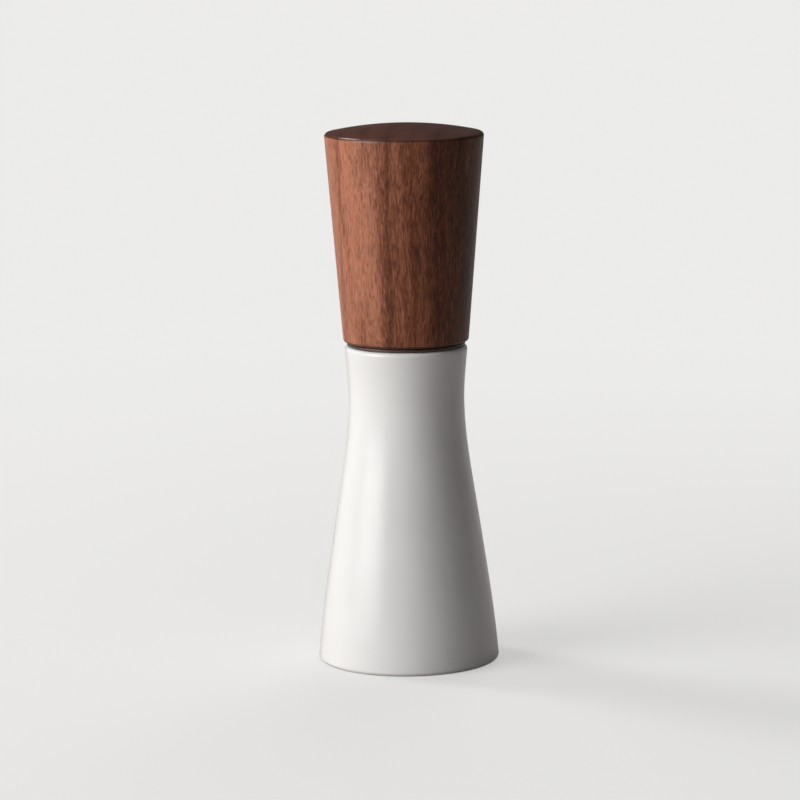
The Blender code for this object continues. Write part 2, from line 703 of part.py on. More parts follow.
def drive_shaft():
    shaft = prism("drive_shaft", SHAFT_FLATS, HEX_FOOT, SHAFT_TOP, 6, ALUMINIUM)
    thread_top = HEX_FOOT + THREAD_RADIUS
    join(shaft, round_helper("shaft_thread", THREAD_RADIUS, SHAFT_FOOT, thread_top))
    floor = SHAFT_FLATS / 2 - CLIP_GROOVE_DEPTH
    groove = ring_profile(
        2 * SHAFT_FLATS, floor, CLIP_FOOT - RUBBER_SEAT, CLIP_FOOT + CLIP_THICKNESS + RUBBER_SEAT
    )
    cut(shaft, turned("clip_groove", groove, helper=True, facets=INNER_FACETS))
    return shaft


def shaft_journal():
    profile = [
        (JOURNAL_RADIUS, JOURNAL_TOP),
        (JOURNAL_RADIUS, JOURNAL_FOOT + JOURNAL_FLANGE_THICKNESS),
        (JOURNAL_FLANGE_RADIUS, JOURNAL_FOOT + JOURNAL_FLANGE_THICKNESS),
        (JOURNAL_FLANGE_RADIUS, JOURNAL_FOOT),
        (MM, JOURNAL_FOOT),
        (MM, JOURNAL_TOP),
    ]
    journal = turned("shaft_journal", profile, BLACK_PLASTIC, INNER_FACETS)
    cut(journal, hex_hole("journal_hole", JOURNAL_FOOT, JOURNAL_TOP))
    return journal


def shaft_clip():
    """An open retaining ring in the shaft's groove."""
    bore = SHAFT_FLATS / 2 - CLIP_GROOVE_DEPTH + SEAT
    profile = ring_profile(bore + CLIP_WIDTH, bore, CLIP_FOOT, CLIP_FOOT + CLIP_THICKNESS)
    clip = turned("shaft_clip", profile, STEEL, INNER_FACETS)
    mouth = bore * 0.8
    cut(clip, block("clip_mouth", (0, -mouth, CLIP_FOOT - MM), (SHAFT_FLATS * 2, mouth, CLIP_FOOT + 2 * MM)))
    return clip


def inner_burr():
    throat = OUTER_BURR_FOOT + EXIT_HEIGHT
    tip_foot = EXIT_RADIUS - EXIT_GAP
    tip_throat = THROAT_RADIUS - THROAT_GAP
    levels = [
        (INNER_BURR_FOOT, tip_foot, -0.2),
        (OUTER_BURR_FOOT, tip_foot, 0.0),
        (throat, tip_throat, 0.4),
        (OUTER_BURR_TOP, CONE_TOP_RADIUS, 1.0),
    ]
    burr = toothed(
        "inner_burr",
        [(z, tip, TOOTH_DEPTH, INNER_TWIST * turn) for z, tip, turn in levels],
        INNER_TEETH,
        SAW_TOOTH,
        BURR_CERAMIC,
    )
    cut(burr, hex_hole("inner_burr_hole", INNER_BURR_FOOT, OUTER_BURR_TOP))
    return burr


def feed_screw():
    """The hub over the inner burr, with sloping vanes that draw the corns down."""
    feed = prism("feed_screw", FEED_HUB_RADIUS, FEED_FOOT, FEED_TOP, INNER_FACETS, GREY_PLASTIC)
    foot = FEED_FOOT + SEAT
    rise = FEED_TOP - SEAT - VANE_THICKNESS - foot
    steps = 6
    for i, (angle, _) in enumerate(around(VANE_COUNT, 1)):
        bm = bmesh.new()
        inner = FEED_HUB_RADIUS - MM
        top = foot + VANE_THICKNESS
        corners = [(inner, foot), (VANE_REACH, foot), (VANE_REACH, top), (inner, top)]
        face = bm.faces.new([bm.verts.new((r, 0, z)) for r, z in corners])
        bmesh.ops.spin(
            bm,
            geom=[face, *face.edges, *face.verts],
            axis=(0, 0, 1),
            cent=(0, 0, 0),
            dvec=(0, 0, rise / steps),
            angle=VANE_SWEEP,
            steps=steps,
            use_duplicate=False,
        )
        bmesh.ops.rotate(bm, verts=bm.verts, cent=(0, 0, 0), matrix=Matrix.Rotation(angle, 3, "Z"))
        join(feed, from_bmesh(f"vane_{i}", bm, helper=True))
    cut(feed, hex_hole("feed_hole", FEED_FOOT, FEED_TOP))
    return feed


def burr_spring():
    """A compression spring with its wire's outside inside the space between its seats."""
    low = SPRING_FOOT + SPRING_WIRE_RADIUS
    rise = SPRING_LENGTH - 2 * SPRING_WIRE_RADIUS
    steps = 12 * SPRING_TURNS
    points = []
    for i in range(steps + 1):
        share = i / steps
        # the first and last three quarters of a turn lie flat, as on ground spring ends
        climb = min(max((share * SPRING_TURNS - 0.75) / (SPRING_TURNS - 1.5), 0.0), 1.0)
        angle = TURN * SPRING_TURNS * share
        lift = 2 * SPRING_WIRE_RADIUS * RUN / MM  # keeps a closed end turn off the turn over it
        z = low + lift * (min(share * SPRING_TURNS, 0.75) / 0.75) + (rise - 2 * lift) * climb
        z += lift * max(0.0, (share * SPRING_TURNS - SPRING_TURNS + 0.75) / 0.75)
        points.append((SPRING_COIL_RADIUS * math.cos(angle), SPRING_COIL_RADIUS * math.sin(angle), z))
    return wire("burr_spring", points, SPRING_WIRE_RADIUS, STEEL)


def adjust_knob():
    levels = [
        (KNOB_FOOT, KNOB_RADIUS - KNOB_EDGE),
        (KNOB_FOOT + KNOB_EDGE, KNOB_RADIUS),
        (KNOB_TOP - KNOB_EDGE, KNOB_RADIUS),
        (KNOB_TOP, KNOB_RADIUS - KNOB_EDGE),
    ]
    rings = [(z, tip, FLUTE_DEPTH, 0.0) for z, tip in levels]
    knob = toothed("adjust_knob", rings, KNOB_FLUTES, FLUTE_OUTLINE, GREY_PLASTIC)
    pocket_foot = NUT_TOP - NUT_HEIGHT - SEAT
    cut(
        knob,
        prism("nut_pocket", NUT_FLATS + 2 * SEAT, pocket_foot, KNOB_TOP + MM, 6, helper=True),
        round_helper("knob_bore", THREAD_RADIUS + 2 * SEAT, 0, NUT_TOP),
    )
    return knob


def knob_nut():
    nut = prism("knob_nut", NUT_FLATS, NUT_TOP - NUT_HEIGHT, NUT_TOP, 6, BRASS)
    cut(nut, round_helper("nut_bore", THREAD_RADIUS + SEAT, 0, KNOB_TOP))
    return nut


def thrust_washer():
    outer = KNOB_RADIUS - WASHER_SET_BACK
    inner = SHAFT_CORNER + WASHER_BORE_ROOM
    return turned("thrust_washer", ring_profile(outer, inner, WASHER_FOOT, WASHER_TOP), STEEL, INNER_FACETS)


# ---------------------------------------------------------------------------
# Head
# ---------------------------------------------------------------------------


def head_shell():
    """Turned walnut, domed on top and bored from below for the insert and the end of the shaft."""
    rim = HEAD_TOP - DOME_RISE - RIM_EDGE_HEIGHT
    face = HEAD_RIM_RADIUS - RIM_EDGE_WIDTH
    dome_radius = (face**2 + DOME_RISE**2) / (2 * DOME_RISE)
    dome = [
        (r, HEAD_TOP - dome_radius + math.sqrt(dome_radius**2 - r**2))
        for r in (face * i / ARC_STEPS for i in range(ARC_STEPS))
    ]
    edge = arc((face, rim), (RIM_EDGE_WIDTH, RIM_EDGE_HEIGHT), 90, 0)
    foot_centre = (HEAD_FOOT_RADIUS - HEAD_FOOT_EDGE, HEAD_FOOT + HEAD_FOOT_EDGE)
    foot = arc(foot_centre, (HEAD_FOOT_EDGE, HEAD_FOOT_EDGE), 0, -90)
    flange_top = HEAD_FOOT + SPIGOT_FLANGE_THICKNESS + SEAT
    bore_top = INSERT_TOP + SEAT
    shaft_room = SHAFT_CORNER + SHAFT_SIDE_ROOM
    bore = [
        (SPIGOT_FLANGE_RADIUS + SEAT, HEAD_FOOT),
        (SPIGOT_FLANGE_RADIUS + SEAT, flange_top),
        (SPIGOT_RADIUS + SEAT, flange_top),
        (SPIGOT_RADIUS + SEAT, bore_top),
        (shaft_room, bore_top),
        (shaft_room, SHAFT_TOP + SHAFT_END_ROOM),
        (0, SHAFT_TOP + SHAFT_END_ROOM),
    ]
    shell = turned("head_shell", dome + edge + foot + bore, WALNUT)
    tip = SOCKET_FLANGE_FOOT + SCREW_LENGTH + SEAT
    for i, (_, centre) in enumerate(around(SCREW_COUNT, INSERT_SCREW_CIRCLE)):
        cut(shell, round_helper(f"pilot_{i}", SCREW_HOLE, INSERT_TOP - MM, tip, centre))
    return shell


def head_insert():
    """The cup in the wood: a web on top, a flange at the wood's foot and the spigot below."""
    groove = SPIGOT_RADIUS - 2 * SPIGOT_RING_RADIUS
    ring_height = SPIGOT_FOOT + SPIGOT_RING_UP
    half = SPIGOT_RING_RADIUS + RUBBER_SEAT
    flange_foot = HEAD_FOOT
    flange_top = HEAD_FOOT + SPIGOT_FLANGE_THICKNESS
    profile = [
        (SPIGOT_RADIUS, INSERT_TOP),
        (SPIGOT_RADIUS, flange_top),
        (SPIGOT_FLANGE_RADIUS, flange_top),
        (SPIGOT_FLANGE_RADIUS, flange_foot),
        (SPIGOT_RADIUS, flange_foot),
        (SPIGOT_RADIUS, ring_height + half),
        (groove, ring_height + half),
        (groove, ring_height - half),
        (SPIGOT_RADIUS, ring_height - half),
        (SPIGOT_RADIUS, SPIGOT_FOOT),
        (INSERT_BORE, SPIGOT_FOOT),
        (INSERT_BORE, WEB_FOOT),
        (SOCKET_RADIUS + SEAT, WEB_FOOT),
        (SOCKET_RADIUS + SEAT, INSERT_TOP),
    ]
    insert = turned("head_insert", profile, COLLAR_PLASTIC)
    for i, (_, centre) in enumerate(around(SCREW_COUNT, INSERT_SCREW_CIRCLE)):
        cut(insert, round_helper(f"web_hole_{i}", SCREW_HOLE, WEB_FOOT - MM, INSERT_TOP + MM, centre))
    return insert


def spigot_ring():
    """The rubber ring that holds the head in the collar."""
    height = SPIGOT_FOOT + SPIGOT_RING_UP
    radius = COLLAR_BORE - RUBBER_SEAT - SPIGOT_RING_RADIUS
    profile = arc((radius, height), (SPIGOT_RING_RADIUS, SPIGOT_RING_RADIUS), 90, -270, 2 * ARC_STEPS)[:-1]
    return turned("spigot_ring", profile, SILICONE)


def shaft_socket():
    """The hexagonal socket that the shaft drives, with a flange for its screws and a groove for its grip."""
    foot = SOCKET_FLANGE_FOOT - SOCKET_LENGTH
    groove = SOCKET_RADIUS - 2 * GRIP_WIRE_RADIUS
    half = GRIP_WIRE_RADIUS + RUBBER_SEAT
    profile = [
        (SOCKET_RADIUS, INSERT_TOP),
        (SOCKET_RADIUS, SOCKET_FLANGE_TOP),
        (SOCKET_FLANGE_RADIUS, SOCKET_FLANGE_TOP),
        (SOCKET_FLANGE_RADIUS, SOCKET_FLANGE_FOOT),
        (SOCKET_RADIUS, SOCKET_FLANGE_FOOT),
        (SOCKET_RADIUS, GRIP_HEIGHT + half),
        (groove, GRIP_HEIGHT + half),
        (groove, GRIP_HEIGHT - half),
        (SOCKET_RADIUS, GRIP_HEIGHT - half),
        (SOCKET_RADIUS, foot),
        (MM, foot),
        (MM, INSERT_TOP),
    ]
    socket = turned("shaft_socket", profile, GREY_PLASTIC, INNER_FACETS)
    cut(socket, hex_hole("socket_hole", foot, INSERT_TOP))
    for i, (_, centre) in enumerate(around(SCREW_COUNT, INSERT_SCREW_CIRCLE)):
        foot, top = SOCKET_FLANGE_FOOT - MM, SOCKET_FLANGE_TOP + MM
        cut(socket, round_helper(f"flange_hole_{i}", SCREW_HOLE, foot, top, centre))
    return socket


def socket_grip():
    """The open wire ring that squeezes the socket on to the shaft."""
    radius = SOCKET_RADIUS - GRIP_WIRE_RADIUS + SEAT
    steps = 16
    sweep = TURN - GRIP_OPENING
    points = []
    for i in range(steps + 1):
        angle = GRIP_OPENING / 2 + sweep * i / steps
        points.append((radius * math.cos(angle), radius * math.sin(angle), GRIP_HEIGHT))
    return wire("socket_grip", points, GRIP_WIRE_RADIUS, STEEL)


def insert_screws():
    places = enumerate(around(SCREW_COUNT, INSERT_SCREW_CIRCLE), 1)
    return [screw_part(f"insert_screw_{i}", centre, SOCKET_FLANGE_FOOT - SEAT) for i, (_, centre) in places]


# ---------------------------------------------------------------------------
# The whole mill
# ---------------------------------------------------------------------------


def bake(obj):
    """Applies a part's modifiers and shades it smooth between its sharp edges."""
    graph = bpy.context.evaluated_depsgraph_get()
    mesh = bpy.data.meshes.new_from_object(obj.evaluated_get(graph))
    obj.modifiers.clear()
    obj.data = mesh
    mesh.shade_smooth()
    mesh.set_sharp_from_angle(angle=SMOOTH_ANGLE)


def gather(name, height, parent, pieces):
    """Hangs the pieces that move together on an empty on the mill's axis."""
    empty = bpy.data.objects.new(name, None)
    empty.empty_display_size = 10 * MM
    PARTS.objects.link(empty)
    empty["height"] = height
    if parent:
        empty.parent = parent
        empty.location.z = height - parent["height"]
    for piece in pieces:
        piece.parent = empty
        piece.location.z -= height
    return empty


def main():
    body = [body_shell(), neck_collar(), base_funnel(), base_gasket(), base_cover(), *cover_screws()]
    grinder = [grinder_housing(), burr_retainer(), outer_burr(), shaft_bridge()]
    shaft = [drive_shaft(), shaft_journal(), shaft_clip(), burr_spring()]
    rotor = [inner_burr(), feed_screw(), thrust_washer()]
    knob = [adjust_knob(), knob_nut()]
    head = [head_shell(), head_insert(), spigot_ring(), shaft_socket(), socket_grip(), *insert_screws()]
    for piece in body + grinder + shaft + rotor + knob + head:
        if piece.type == "MESH":
            bake(piece)
    body_frame = gather("body_frame", 0.0, None, body + grinder)
    shaft_axis = gather("shaft_axis", JOURNAL_FOOT, body_frame, shaft)
    gather("head_axis", HEAD_FOOT, shaft_axis, head)
    rotor_axis = gather("rotor_axis", INNER_BURR_FOOT, shaft_axis, rotor)
    gather("knob_axis", KNOB_FOOT, rotor_axis, knob)


main()
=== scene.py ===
# %% [markdown]
# # A pepper mill in walnut and glazed ceramic
#
# The mill is a waisted ceramic body with a walnut head that turns on it. Inside, a hexagonal shaft
# drives a pair of conical burrs, and a fluted knob underneath sets how fine they grind. The solids of
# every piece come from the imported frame. This file gives each of them its fine surface: it reads the
# outline of a solid, eases its edges and turns it again with many more facets.

# %% Load the frame
import math

import bmesh
import bpy
from mathutils import Matrix, Vector


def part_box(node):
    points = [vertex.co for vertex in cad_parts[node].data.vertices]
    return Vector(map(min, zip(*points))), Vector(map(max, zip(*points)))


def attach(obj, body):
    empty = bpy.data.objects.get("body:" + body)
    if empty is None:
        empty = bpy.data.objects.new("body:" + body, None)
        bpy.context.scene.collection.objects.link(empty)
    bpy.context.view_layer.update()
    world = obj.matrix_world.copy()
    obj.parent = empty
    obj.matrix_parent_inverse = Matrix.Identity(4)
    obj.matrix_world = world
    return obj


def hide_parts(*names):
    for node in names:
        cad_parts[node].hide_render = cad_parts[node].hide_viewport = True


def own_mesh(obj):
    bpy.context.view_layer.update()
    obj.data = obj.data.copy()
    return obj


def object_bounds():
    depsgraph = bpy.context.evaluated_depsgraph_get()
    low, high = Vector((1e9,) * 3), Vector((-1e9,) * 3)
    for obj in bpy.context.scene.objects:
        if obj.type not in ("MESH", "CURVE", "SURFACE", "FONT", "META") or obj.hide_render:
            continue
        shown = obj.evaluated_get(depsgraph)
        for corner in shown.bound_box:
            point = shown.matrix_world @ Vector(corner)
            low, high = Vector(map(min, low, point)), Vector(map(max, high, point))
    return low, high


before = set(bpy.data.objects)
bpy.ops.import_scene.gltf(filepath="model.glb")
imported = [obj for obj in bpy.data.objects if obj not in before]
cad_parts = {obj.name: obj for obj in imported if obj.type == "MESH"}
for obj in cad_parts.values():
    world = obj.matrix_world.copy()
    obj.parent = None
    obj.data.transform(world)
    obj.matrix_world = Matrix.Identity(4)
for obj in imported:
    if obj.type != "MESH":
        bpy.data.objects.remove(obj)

MM = 0.001
TURN = 2 * math.pi


def round_axis(angle, radius, *height):
    """A point by its angle and radius, with its height if one is given."""
    return (radius * math.cos(angle), radius * math.sin(angle), *height)


cad_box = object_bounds()
foot, crown = (corner.z for corner in cad_box)
print(f"the mill is {(crown - foot) / MM:.1f} mm tall and has {len(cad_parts)} solids")

# %% [markdown]
# ## Camera
#
# A long lens from over a metre away keeps the mill's sides nearly parallel. It looks down by a few
# degrees, so the dome on the head shows as a thin ellipse and the collar as a shallow curve. The
# camera leans by half a degree, as a hand-held one does.

# %% Camera
VIEW_DISTANCE = 1.4
VIEW_HEIGHT = 0.3302
VIEW_DOWN = math.radians(9.44)
VIEW_LEAN = math.radians(-0.58)
VIEW_SIDE = -2.45 * MM
FOCAL_LENGTH = 172.25  # in millimetres, on a sensor 36 mm wide

lens = bpy.data.cameras.new("camera")
lens.lens = FOCAL_LENGTH
lens.sensor_width = 36
camera = bpy.data.objects.new("camera", lens)
bpy.context.scene.collection.objects.link(camera)
turn_down = Matrix.Rotation(math.pi / 2 - VIEW_DOWN, 4, "X") @ Matrix.Rotation(VIEW_LEAN, 4, "Z")
camera.matrix_world = Matrix.Translation((VIEW_SIDE, -VIEW_DISTANCE, VIEW_HEIGHT)) @ turn_down
bpy.context.scene.camera = camera
print(f"camera {camera.location.length:.2f} m away, looking down {math.degrees(VIEW_DOWN):.1f} degrees")

# %% [markdown]
# ## Trees of nodes
#
# Both the finishes and the repeated shapes are trees of nodes. One helper adds a node and fills its
# inputs: a socket is linked, and anything else is set as the input's value. The others add the nodes
# that are used most, and each finds its tree by a socket that it is given.


# %% Helpers for node trees
def fill(node, inputs):
    """Fills inputs of a node by name or index."""
    for key, value in inputs.items():
        if isinstance(value, bpy.types.NodeSocket):
            node.id_data.links.new(value, node.inputs[key])
        else:
            node.inputs[key].default_value = value
    return node


def add(tree, kind, inputs=None, **settings):
    """Adds a node to a tree, with its settings, and fills its inputs."""
    node = tree.nodes.new(kind)
    for key, value in settings.items():
        setattr(node, key, value)
    return fill(node, inputs or {})


def math_node(operation, a, b=0.0):
    """The output of a math node; a or b is a socket."""
    tree = (a if isinstance(a, bpy.types.NodeSocket) else b).id_data
    return add(tree, "ShaderNodeMath", {0: a, 1: b}, operation=operation).outputs[0]


def plus(a, b):
    return math_node("ADD", a, b)


def times(a, b):
    return math_node("MULTIPLY", a, b)


def material(name, colour, roughness, metallic=0.0):
    """A Principled material; returns it with its shader and its Object coordinates."""
    made = bpy.data.materials.new(name)
    made.use_nodes = True
    shader = made.node_tree.nodes["Principled BSDF"]
    fill(shader, {"Base Color": (*colour, 1.0), "Roughness": roughness, "Metallic": metallic})
    return made, shader, add(made.node_tree, "ShaderNodeTexCoord").outputs["Object"]


def noise(place, scale, stretch=(1, 1, 1), detail=2.0, rough=0.5):
    """Noise with a scale in cycles per metre, stretched along the axes; returns its value."""
    tree = place.id_data
    mapped = add(tree, "ShaderNodeMapping", {"Vector": place, "Scale": stretch}).outputs[0]
    inputs = {"Vector": mapped, "Scale": scale, "Detail": detail, "Roughness": rough}
    return add(tree, "ShaderNodeTexNoise", inputs).outputs[0]


def ramp(value, stops):
    """A colour ramp through (position, colour) stops; a plain number stands for a grey."""
    node = add(value.id_data, "ShaderNodeValToRGB", {"Fac": value})
    elements = node.color_ramp.elements
    while len(elements) < len(stops):
        elements.new(0.5)
    for element, (position, colour) in zip(elements, stops):
        element.position = position
        element.color = (*colour, 1.0) if isinstance(colour, tuple) else (colour,) * 3 + (1.0,)
    return node.outputs[0]


def mix(factor, a, b, blend="MIX"):
    """Mixes two colours; a plain one is given without its alpha."""
    a, b = ((*colour, 1.0) if isinstance(colour, tuple) else colour for colour in (a, b))
    settings = {"data_type": "RGBA", "blend_type": blend}
    return add(factor.id_data, "ShaderNodeMix", {0: factor, 6: a, 7: b}, **settings).outputs[2]


def spread(value, low, high, start=0.0, end=1.0, curve="LINEAR"):
    """Maps start..end on to low..high."""
    inputs = {"Value": value, "From Min": start, "From Max": end, "To Min": low, "To Max": high}
    return add(value.id_data, "ShaderNodeMapRange", inputs, interpolation_type=curve).outputs[0]


def bump(shader, height, depth, strength=1.0):
    """Raises the surface by up to depth metres where height is 1."""
    inputs = {"Height": height, "Distance": depth, "Strength": strength}
    fill(shader, {"Normal": add(shader.id_data, "ShaderNodeBump", inputs).outputs[0]})


# %% [markdown]
# ## Walnut
#
# The head is turned from one block with the grain running along the mill, then oiled and buffed. Real
# wood is a solid pattern, so it is made as one: rings round a pith that lies outside the block give
# the slow change of tone, streaks drawn out along the grain give the figure, and the open pores of
# the wood show as short dark flecks along the sides. Where the dome cuts across the grain, the rings
# show as wide arcs. A slow sway and a quicker ripple tilt the flecks, as on wavy grain.

# %% Walnut
WALNUT_DARK = (0.072, 0.0185, 0.0090)
WALNUT_MID = (0.188, 0.0585, 0.0265)
WALNUT_LIGHT = (0.485, 0.187, 0.109)
PORE_SHADE = (0.30, 0.22, 0.20)
# the end grain colours also hold painted shade, so they are darker than oiled end grain alone
END_SHADED_DARK = (0.036, 0.0100, 0.0060)
END_SHADED_LIGHT = (0.078, 0.0230, 0.0125)
RING_WIDTH = 9.0 * MM
PITH = (-0.056, 0.026, 0.0)
SWAY, RIPPLE = 2.4 * MM, 0.6 * MM  # how far the grain is bent, slowly and quickly
PORE_DEPTH = 0.03 * MM


def walnut_finish():
    made, shader, place = material("walnut", WALNUT_MID, 0.34)
    tree = made.node_tree
    sway = noise(place, 34.0, (1, 1, 0.6), 2.0)
    ripple = noise(place, 150.0, (1, 1, 0.9), 1.0)
    drift = plus(spread(sway, -SWAY, SWAY), spread(ripple, -RIPPLE, RIPPLE))
    push = add(tree, "ShaderNodeCombineXYZ", {0: drift, 1: drift}).outputs[0]
    bent = add(tree, "ShaderNodeVectorMath", {0: place, 1: push}, operation="ADD").outputs[0]

    inputs = {"Vector": bent, "Location": PITH, "Scale": (1, 1, 0)}
    from_pith = add(tree, "ShaderNodeMapping", inputs).outputs[0]
    distance = add(tree, "ShaderNodeVectorMath", {0: from_pith}, operation="LENGTH").outputs["Value"]
    phase = math_node("FRACT", math_node("DIVIDE", distance, RING_WIDTH))
    rings = ramp(phase, [(0.0, 0.42), (0.5, 0.60), (0.84, 0.46), (0.94, 0.18), (1.0, 0.42)])
    bands = noise(bent, 75.0, (1, 1, 0.10), 3.0, 0.5)
    streaks = noise(bent, 240.0, (1, 1, 0.06), 3.0, 0.6)
    fine = noise(bent, 1900.0, (1, 1, 0.10), 3.0, 0.7)
    # the wood grows paler away from the pith
    pale = spread(math_node("DIVIDE", distance, 100.0 * MM), -0.45, 0.17)
    tone = pale
    for part, share in ((rings, 0.20), (bands, 0.38), (streaks, 0.40), (fine, 0.68)):
        tone = plus(tone, times(part, share))
    wood = ramp(tone, [(0.545, WALNUT_DARK), (0.70, WALNUT_MID), (0.96, WALNUT_LIGHT)])

    flecks = noise(bent, 2500.0, (1, 1, 0.09), 1.0, 0.4)
    pores = ramp(flecks, [(0.32, 1.0), (0.46, 0.0)])
    colour = mix(times(pores, 0.6), wood, PORE_SHADE, "MULTIPLY")
    # end grain drinks more oil and takes a higher polish, so the dome is darker than the side; its dark
    # is deepened further with painted shade, and the rim's round gets a painted dark reflection
    arcs = plus(times(rings, 0.65), times(bands, 0.5))
    dome = ramp(arcs, [(0.36, END_SHADED_DARK), (0.66, END_SHADED_LIGHT)])
    normal = tree.nodes["Texture Coordinate"].outputs["Normal"]
    up = add(tree, "ShaderNodeSeparateXYZ", {0: normal}).outputs[2]
    # this ramp also carries the painted shade of the dome partway down the rounded rim, as a painted
    # dark reflection
    end_grain_and_shade = ramp(math_node("ABSOLUTE", up), [(0.10, 0.0), (0.40, 0.93)])
    sheen = plus(spread(fine, 0.26, 0.42), times(pores, 0.12))
    fill(shader, {"Base Color": mix(end_grain_and_shade, colour, dome), "Specular IOR Level": 0.30})
    fill(shader, {"Roughness": spread(end_grain_and_shade, sheen, 0.24)})
    sunk = math_node("SUBTRACT", times(fine, 0.5), pores)
    bump(shader, times(sunk, spread(end_grain_and_shade, 1.0, 0.1)), PORE_DEPTH)
    return made


walnut = walnut_finish()
print("walnut rings every", RING_WIDTH / MM, "mm round a pith outside the block")

# %% [markdown]
# ## Glaze and bare ceramic
#
# The body is slip-cast white ceramic under a clear, glossy glaze. A glaze levels itself but never
# quite: it keeps a slow unevenness that bends reflections a little. It is wiped off the foot ring
# before firing, so that the body doesn't stick to the kiln shelf, and that ring stays matt and bare.

# %% Glaze, bare foot and burr ceramic
SPECK_COLOUR = (0.52, 0.49, 0.44)


def glaze_finish():
    made, shader, place = material("white_glaze", (0.83, 0.83, 0.815), 0.09)
    cloud = noise(place, 22.0, (1, 1, 1), 3.0)
    speck = noise(place, 900.0, (1, 1, 1), 1.0)
    body = ramp(cloud, [(0.3, (0.80, 0.793, 0.786)), (0.7, (0.85, 0.846, 0.841))])
    dots = ramp(speck, [(0.16, 1.0), (0.20, 0.0)])
    speckled = mix(times(dots, 0.35), body, SPECK_COLOUR)
    fill(shader, {"Base Color": speckled, "Roughness": spread(cloud, 0.12, 0.20)})
    level = noise(place, 110.0, (1, 1, 0.3), 2.0, 0.4)
    bump(shader, level, 0.20 * MM, 0.6)
    return made


def bare_ceramic_finish(name, colour, grit):
    made, shader, place = material(name, colour, 0.7)
    grain = noise(place, grit, (1, 1, 1), 3.0, 0.7)
    dark = tuple(c * 0.82 for c in colour)
    gritty = ramp(grain, [(0.35, dark), (0.65, colour)])
    fill(shader, {"Base Color": gritty, "Roughness": spread(grain, 0.55, 0.8)})
    bump(shader, grain, 0.03 * MM)
    return made


glaze = glaze_finish()
bare_foot = bare_ceramic_finish("bare_foot", (0.62, 0.58, 0.52), 1600.0)
burr_ceramic = bare_ceramic_finish("burr_ceramic", (0.80, 0.78, 0.72), 2600.0)
print("glazed:", glaze.name, "and bare:", bare_foot.name, burr_ceramic.name)

# %% [markdown]
# ## Plastics and rubber
#
# Moulded plastic takes the fine spark-eroded texture of its mould, and its tone and gloss vary a little
# in soft patches. Silicone is duller and softer in its highlights.

# %% Plastics and rubber
def moulded_finish(name, colour, roughness, texture_depth, texture=2200.0):
    made, shader, place = material(name, colour, roughness)
    skin = noise(place, texture, (1, 1, 1), 2.0, 0.6)
    wear = noise(place, 90.0, (1, 1, 1), 4.0, 0.6)
    dull = tuple(min(1.0, c * 1.25 + 0.004) for c in colour)
    worn = ramp(wear, [(0.4, colour), (0.75, dull)])
    fill(shader, {"Base Color": worn, "Roughness": spread(wear, roughness - 0.07, roughness + 0.09)})
    bump(shader, skin, texture_depth)
    return made


collar_plastic = moulded_finish("collar_plastic", (0.100, 0.050, 0.036), 0.34, 0.008 * MM)
black_plastic = moulded_finish("black_plastic", (0.032, 0.030, 0.029), 0.48, 0.03 * MM)
grey_plastic = moulded_finish("grey_plastic", (0.30, 0.30, 0.29), 0.46, 0.025 * MM)
silicone = moulded_finish("silicone", (0.17, 0.165, 0.155), 0.68, 0.012 * MM)
print("moulded:", collar_plastic.name, black_plastic.name, grey_plastic.name, silicone.name)

# %% [markdown]
# ## Metals
#
# The shaft is drawn through a die, which leaves fine lines along it. Washers, rings and screws are
# turned or rolled, so their lines run round the axis. Both are noise stretched along the tool's path;
# for lines round the axis the noise reads the radius and the height instead of the place.

# %% Metals
def drawn_finish(name, colour, roughness):
    made, shader, place = material(name, colour, roughness, 1.0)
    lines = noise(place, 2600.0, (1, 1, 0.012), 3.0, 0.6)
    fill(shader, {"Roughness": spread(lines, roughness - 0.10, roughness + 0.14)})
    bump(shader, lines, 0.012 * MM)
    return made


def turned_finish(name, colour, roughness):
    made, shader, place = material(name, colour, roughness, 1.0)
    tree = made.node_tree
    x, y, z = add(tree, "ShaderNodeSeparateXYZ", {0: place}).outputs
    radius = math_node("SQRT", plus(times(x, x), times(y, y)))
    section = add(tree, "ShaderNodeCombineXYZ", {0: radius, 2: z}).outputs[0]
    lines = noise(section, 5200.0, (1, 1, 1), 2.0, 0.6)
    stain = noise(place, 160.0, (1, 1, 1), 3.0)
    dark = tuple(c * 0.86 for c in colour)
    stained = ramp(stain, [(0.35, dark), (0.6, colour)])
    fill(shader, {"Base Color": stained, "Roughness": spread(lines, roughness - 0.08, roughness + 0.12)})
    bump(shader, lines, 0.008 * MM)
    return made


aluminium = drawn_finish("aluminium", (0.78, 0.78, 0.79), 0.30)
steel = turned_finish("steel", (0.60, 0.60, 0.61), 0.22)
brass = turned_finish("brass", (0.72, 0.50, 0.20), 0.26)
print("drawn:", aluminium.name, "and turned:", steel.name, brass.name)

# %% [markdown]
# ## Outlines
#
# A turned piece is known by its half section. Cutting a solid with a plane through the axis leaves
# that section as a chain of edges, which is walked from end to end. The side towards -Y is used,
# because no screw, rib or leg stands there. The solid is coarse, so the chain is refined twice: its
# gentle bends become a smooth curve through the same points, and each sharp corner gets the small
# round that a mould or a scraper leaves. The round has a point just before and after it, which keeps
# the shading of the faces beside it flat.

# %% Read and refine an outline
CORNER = math.radians(40)  # a sharper turn than this is an edge, and not part of a curve
CURVE_STEP = 1.5 * MM
SAME = 0.001 * MM  # points this close are one point


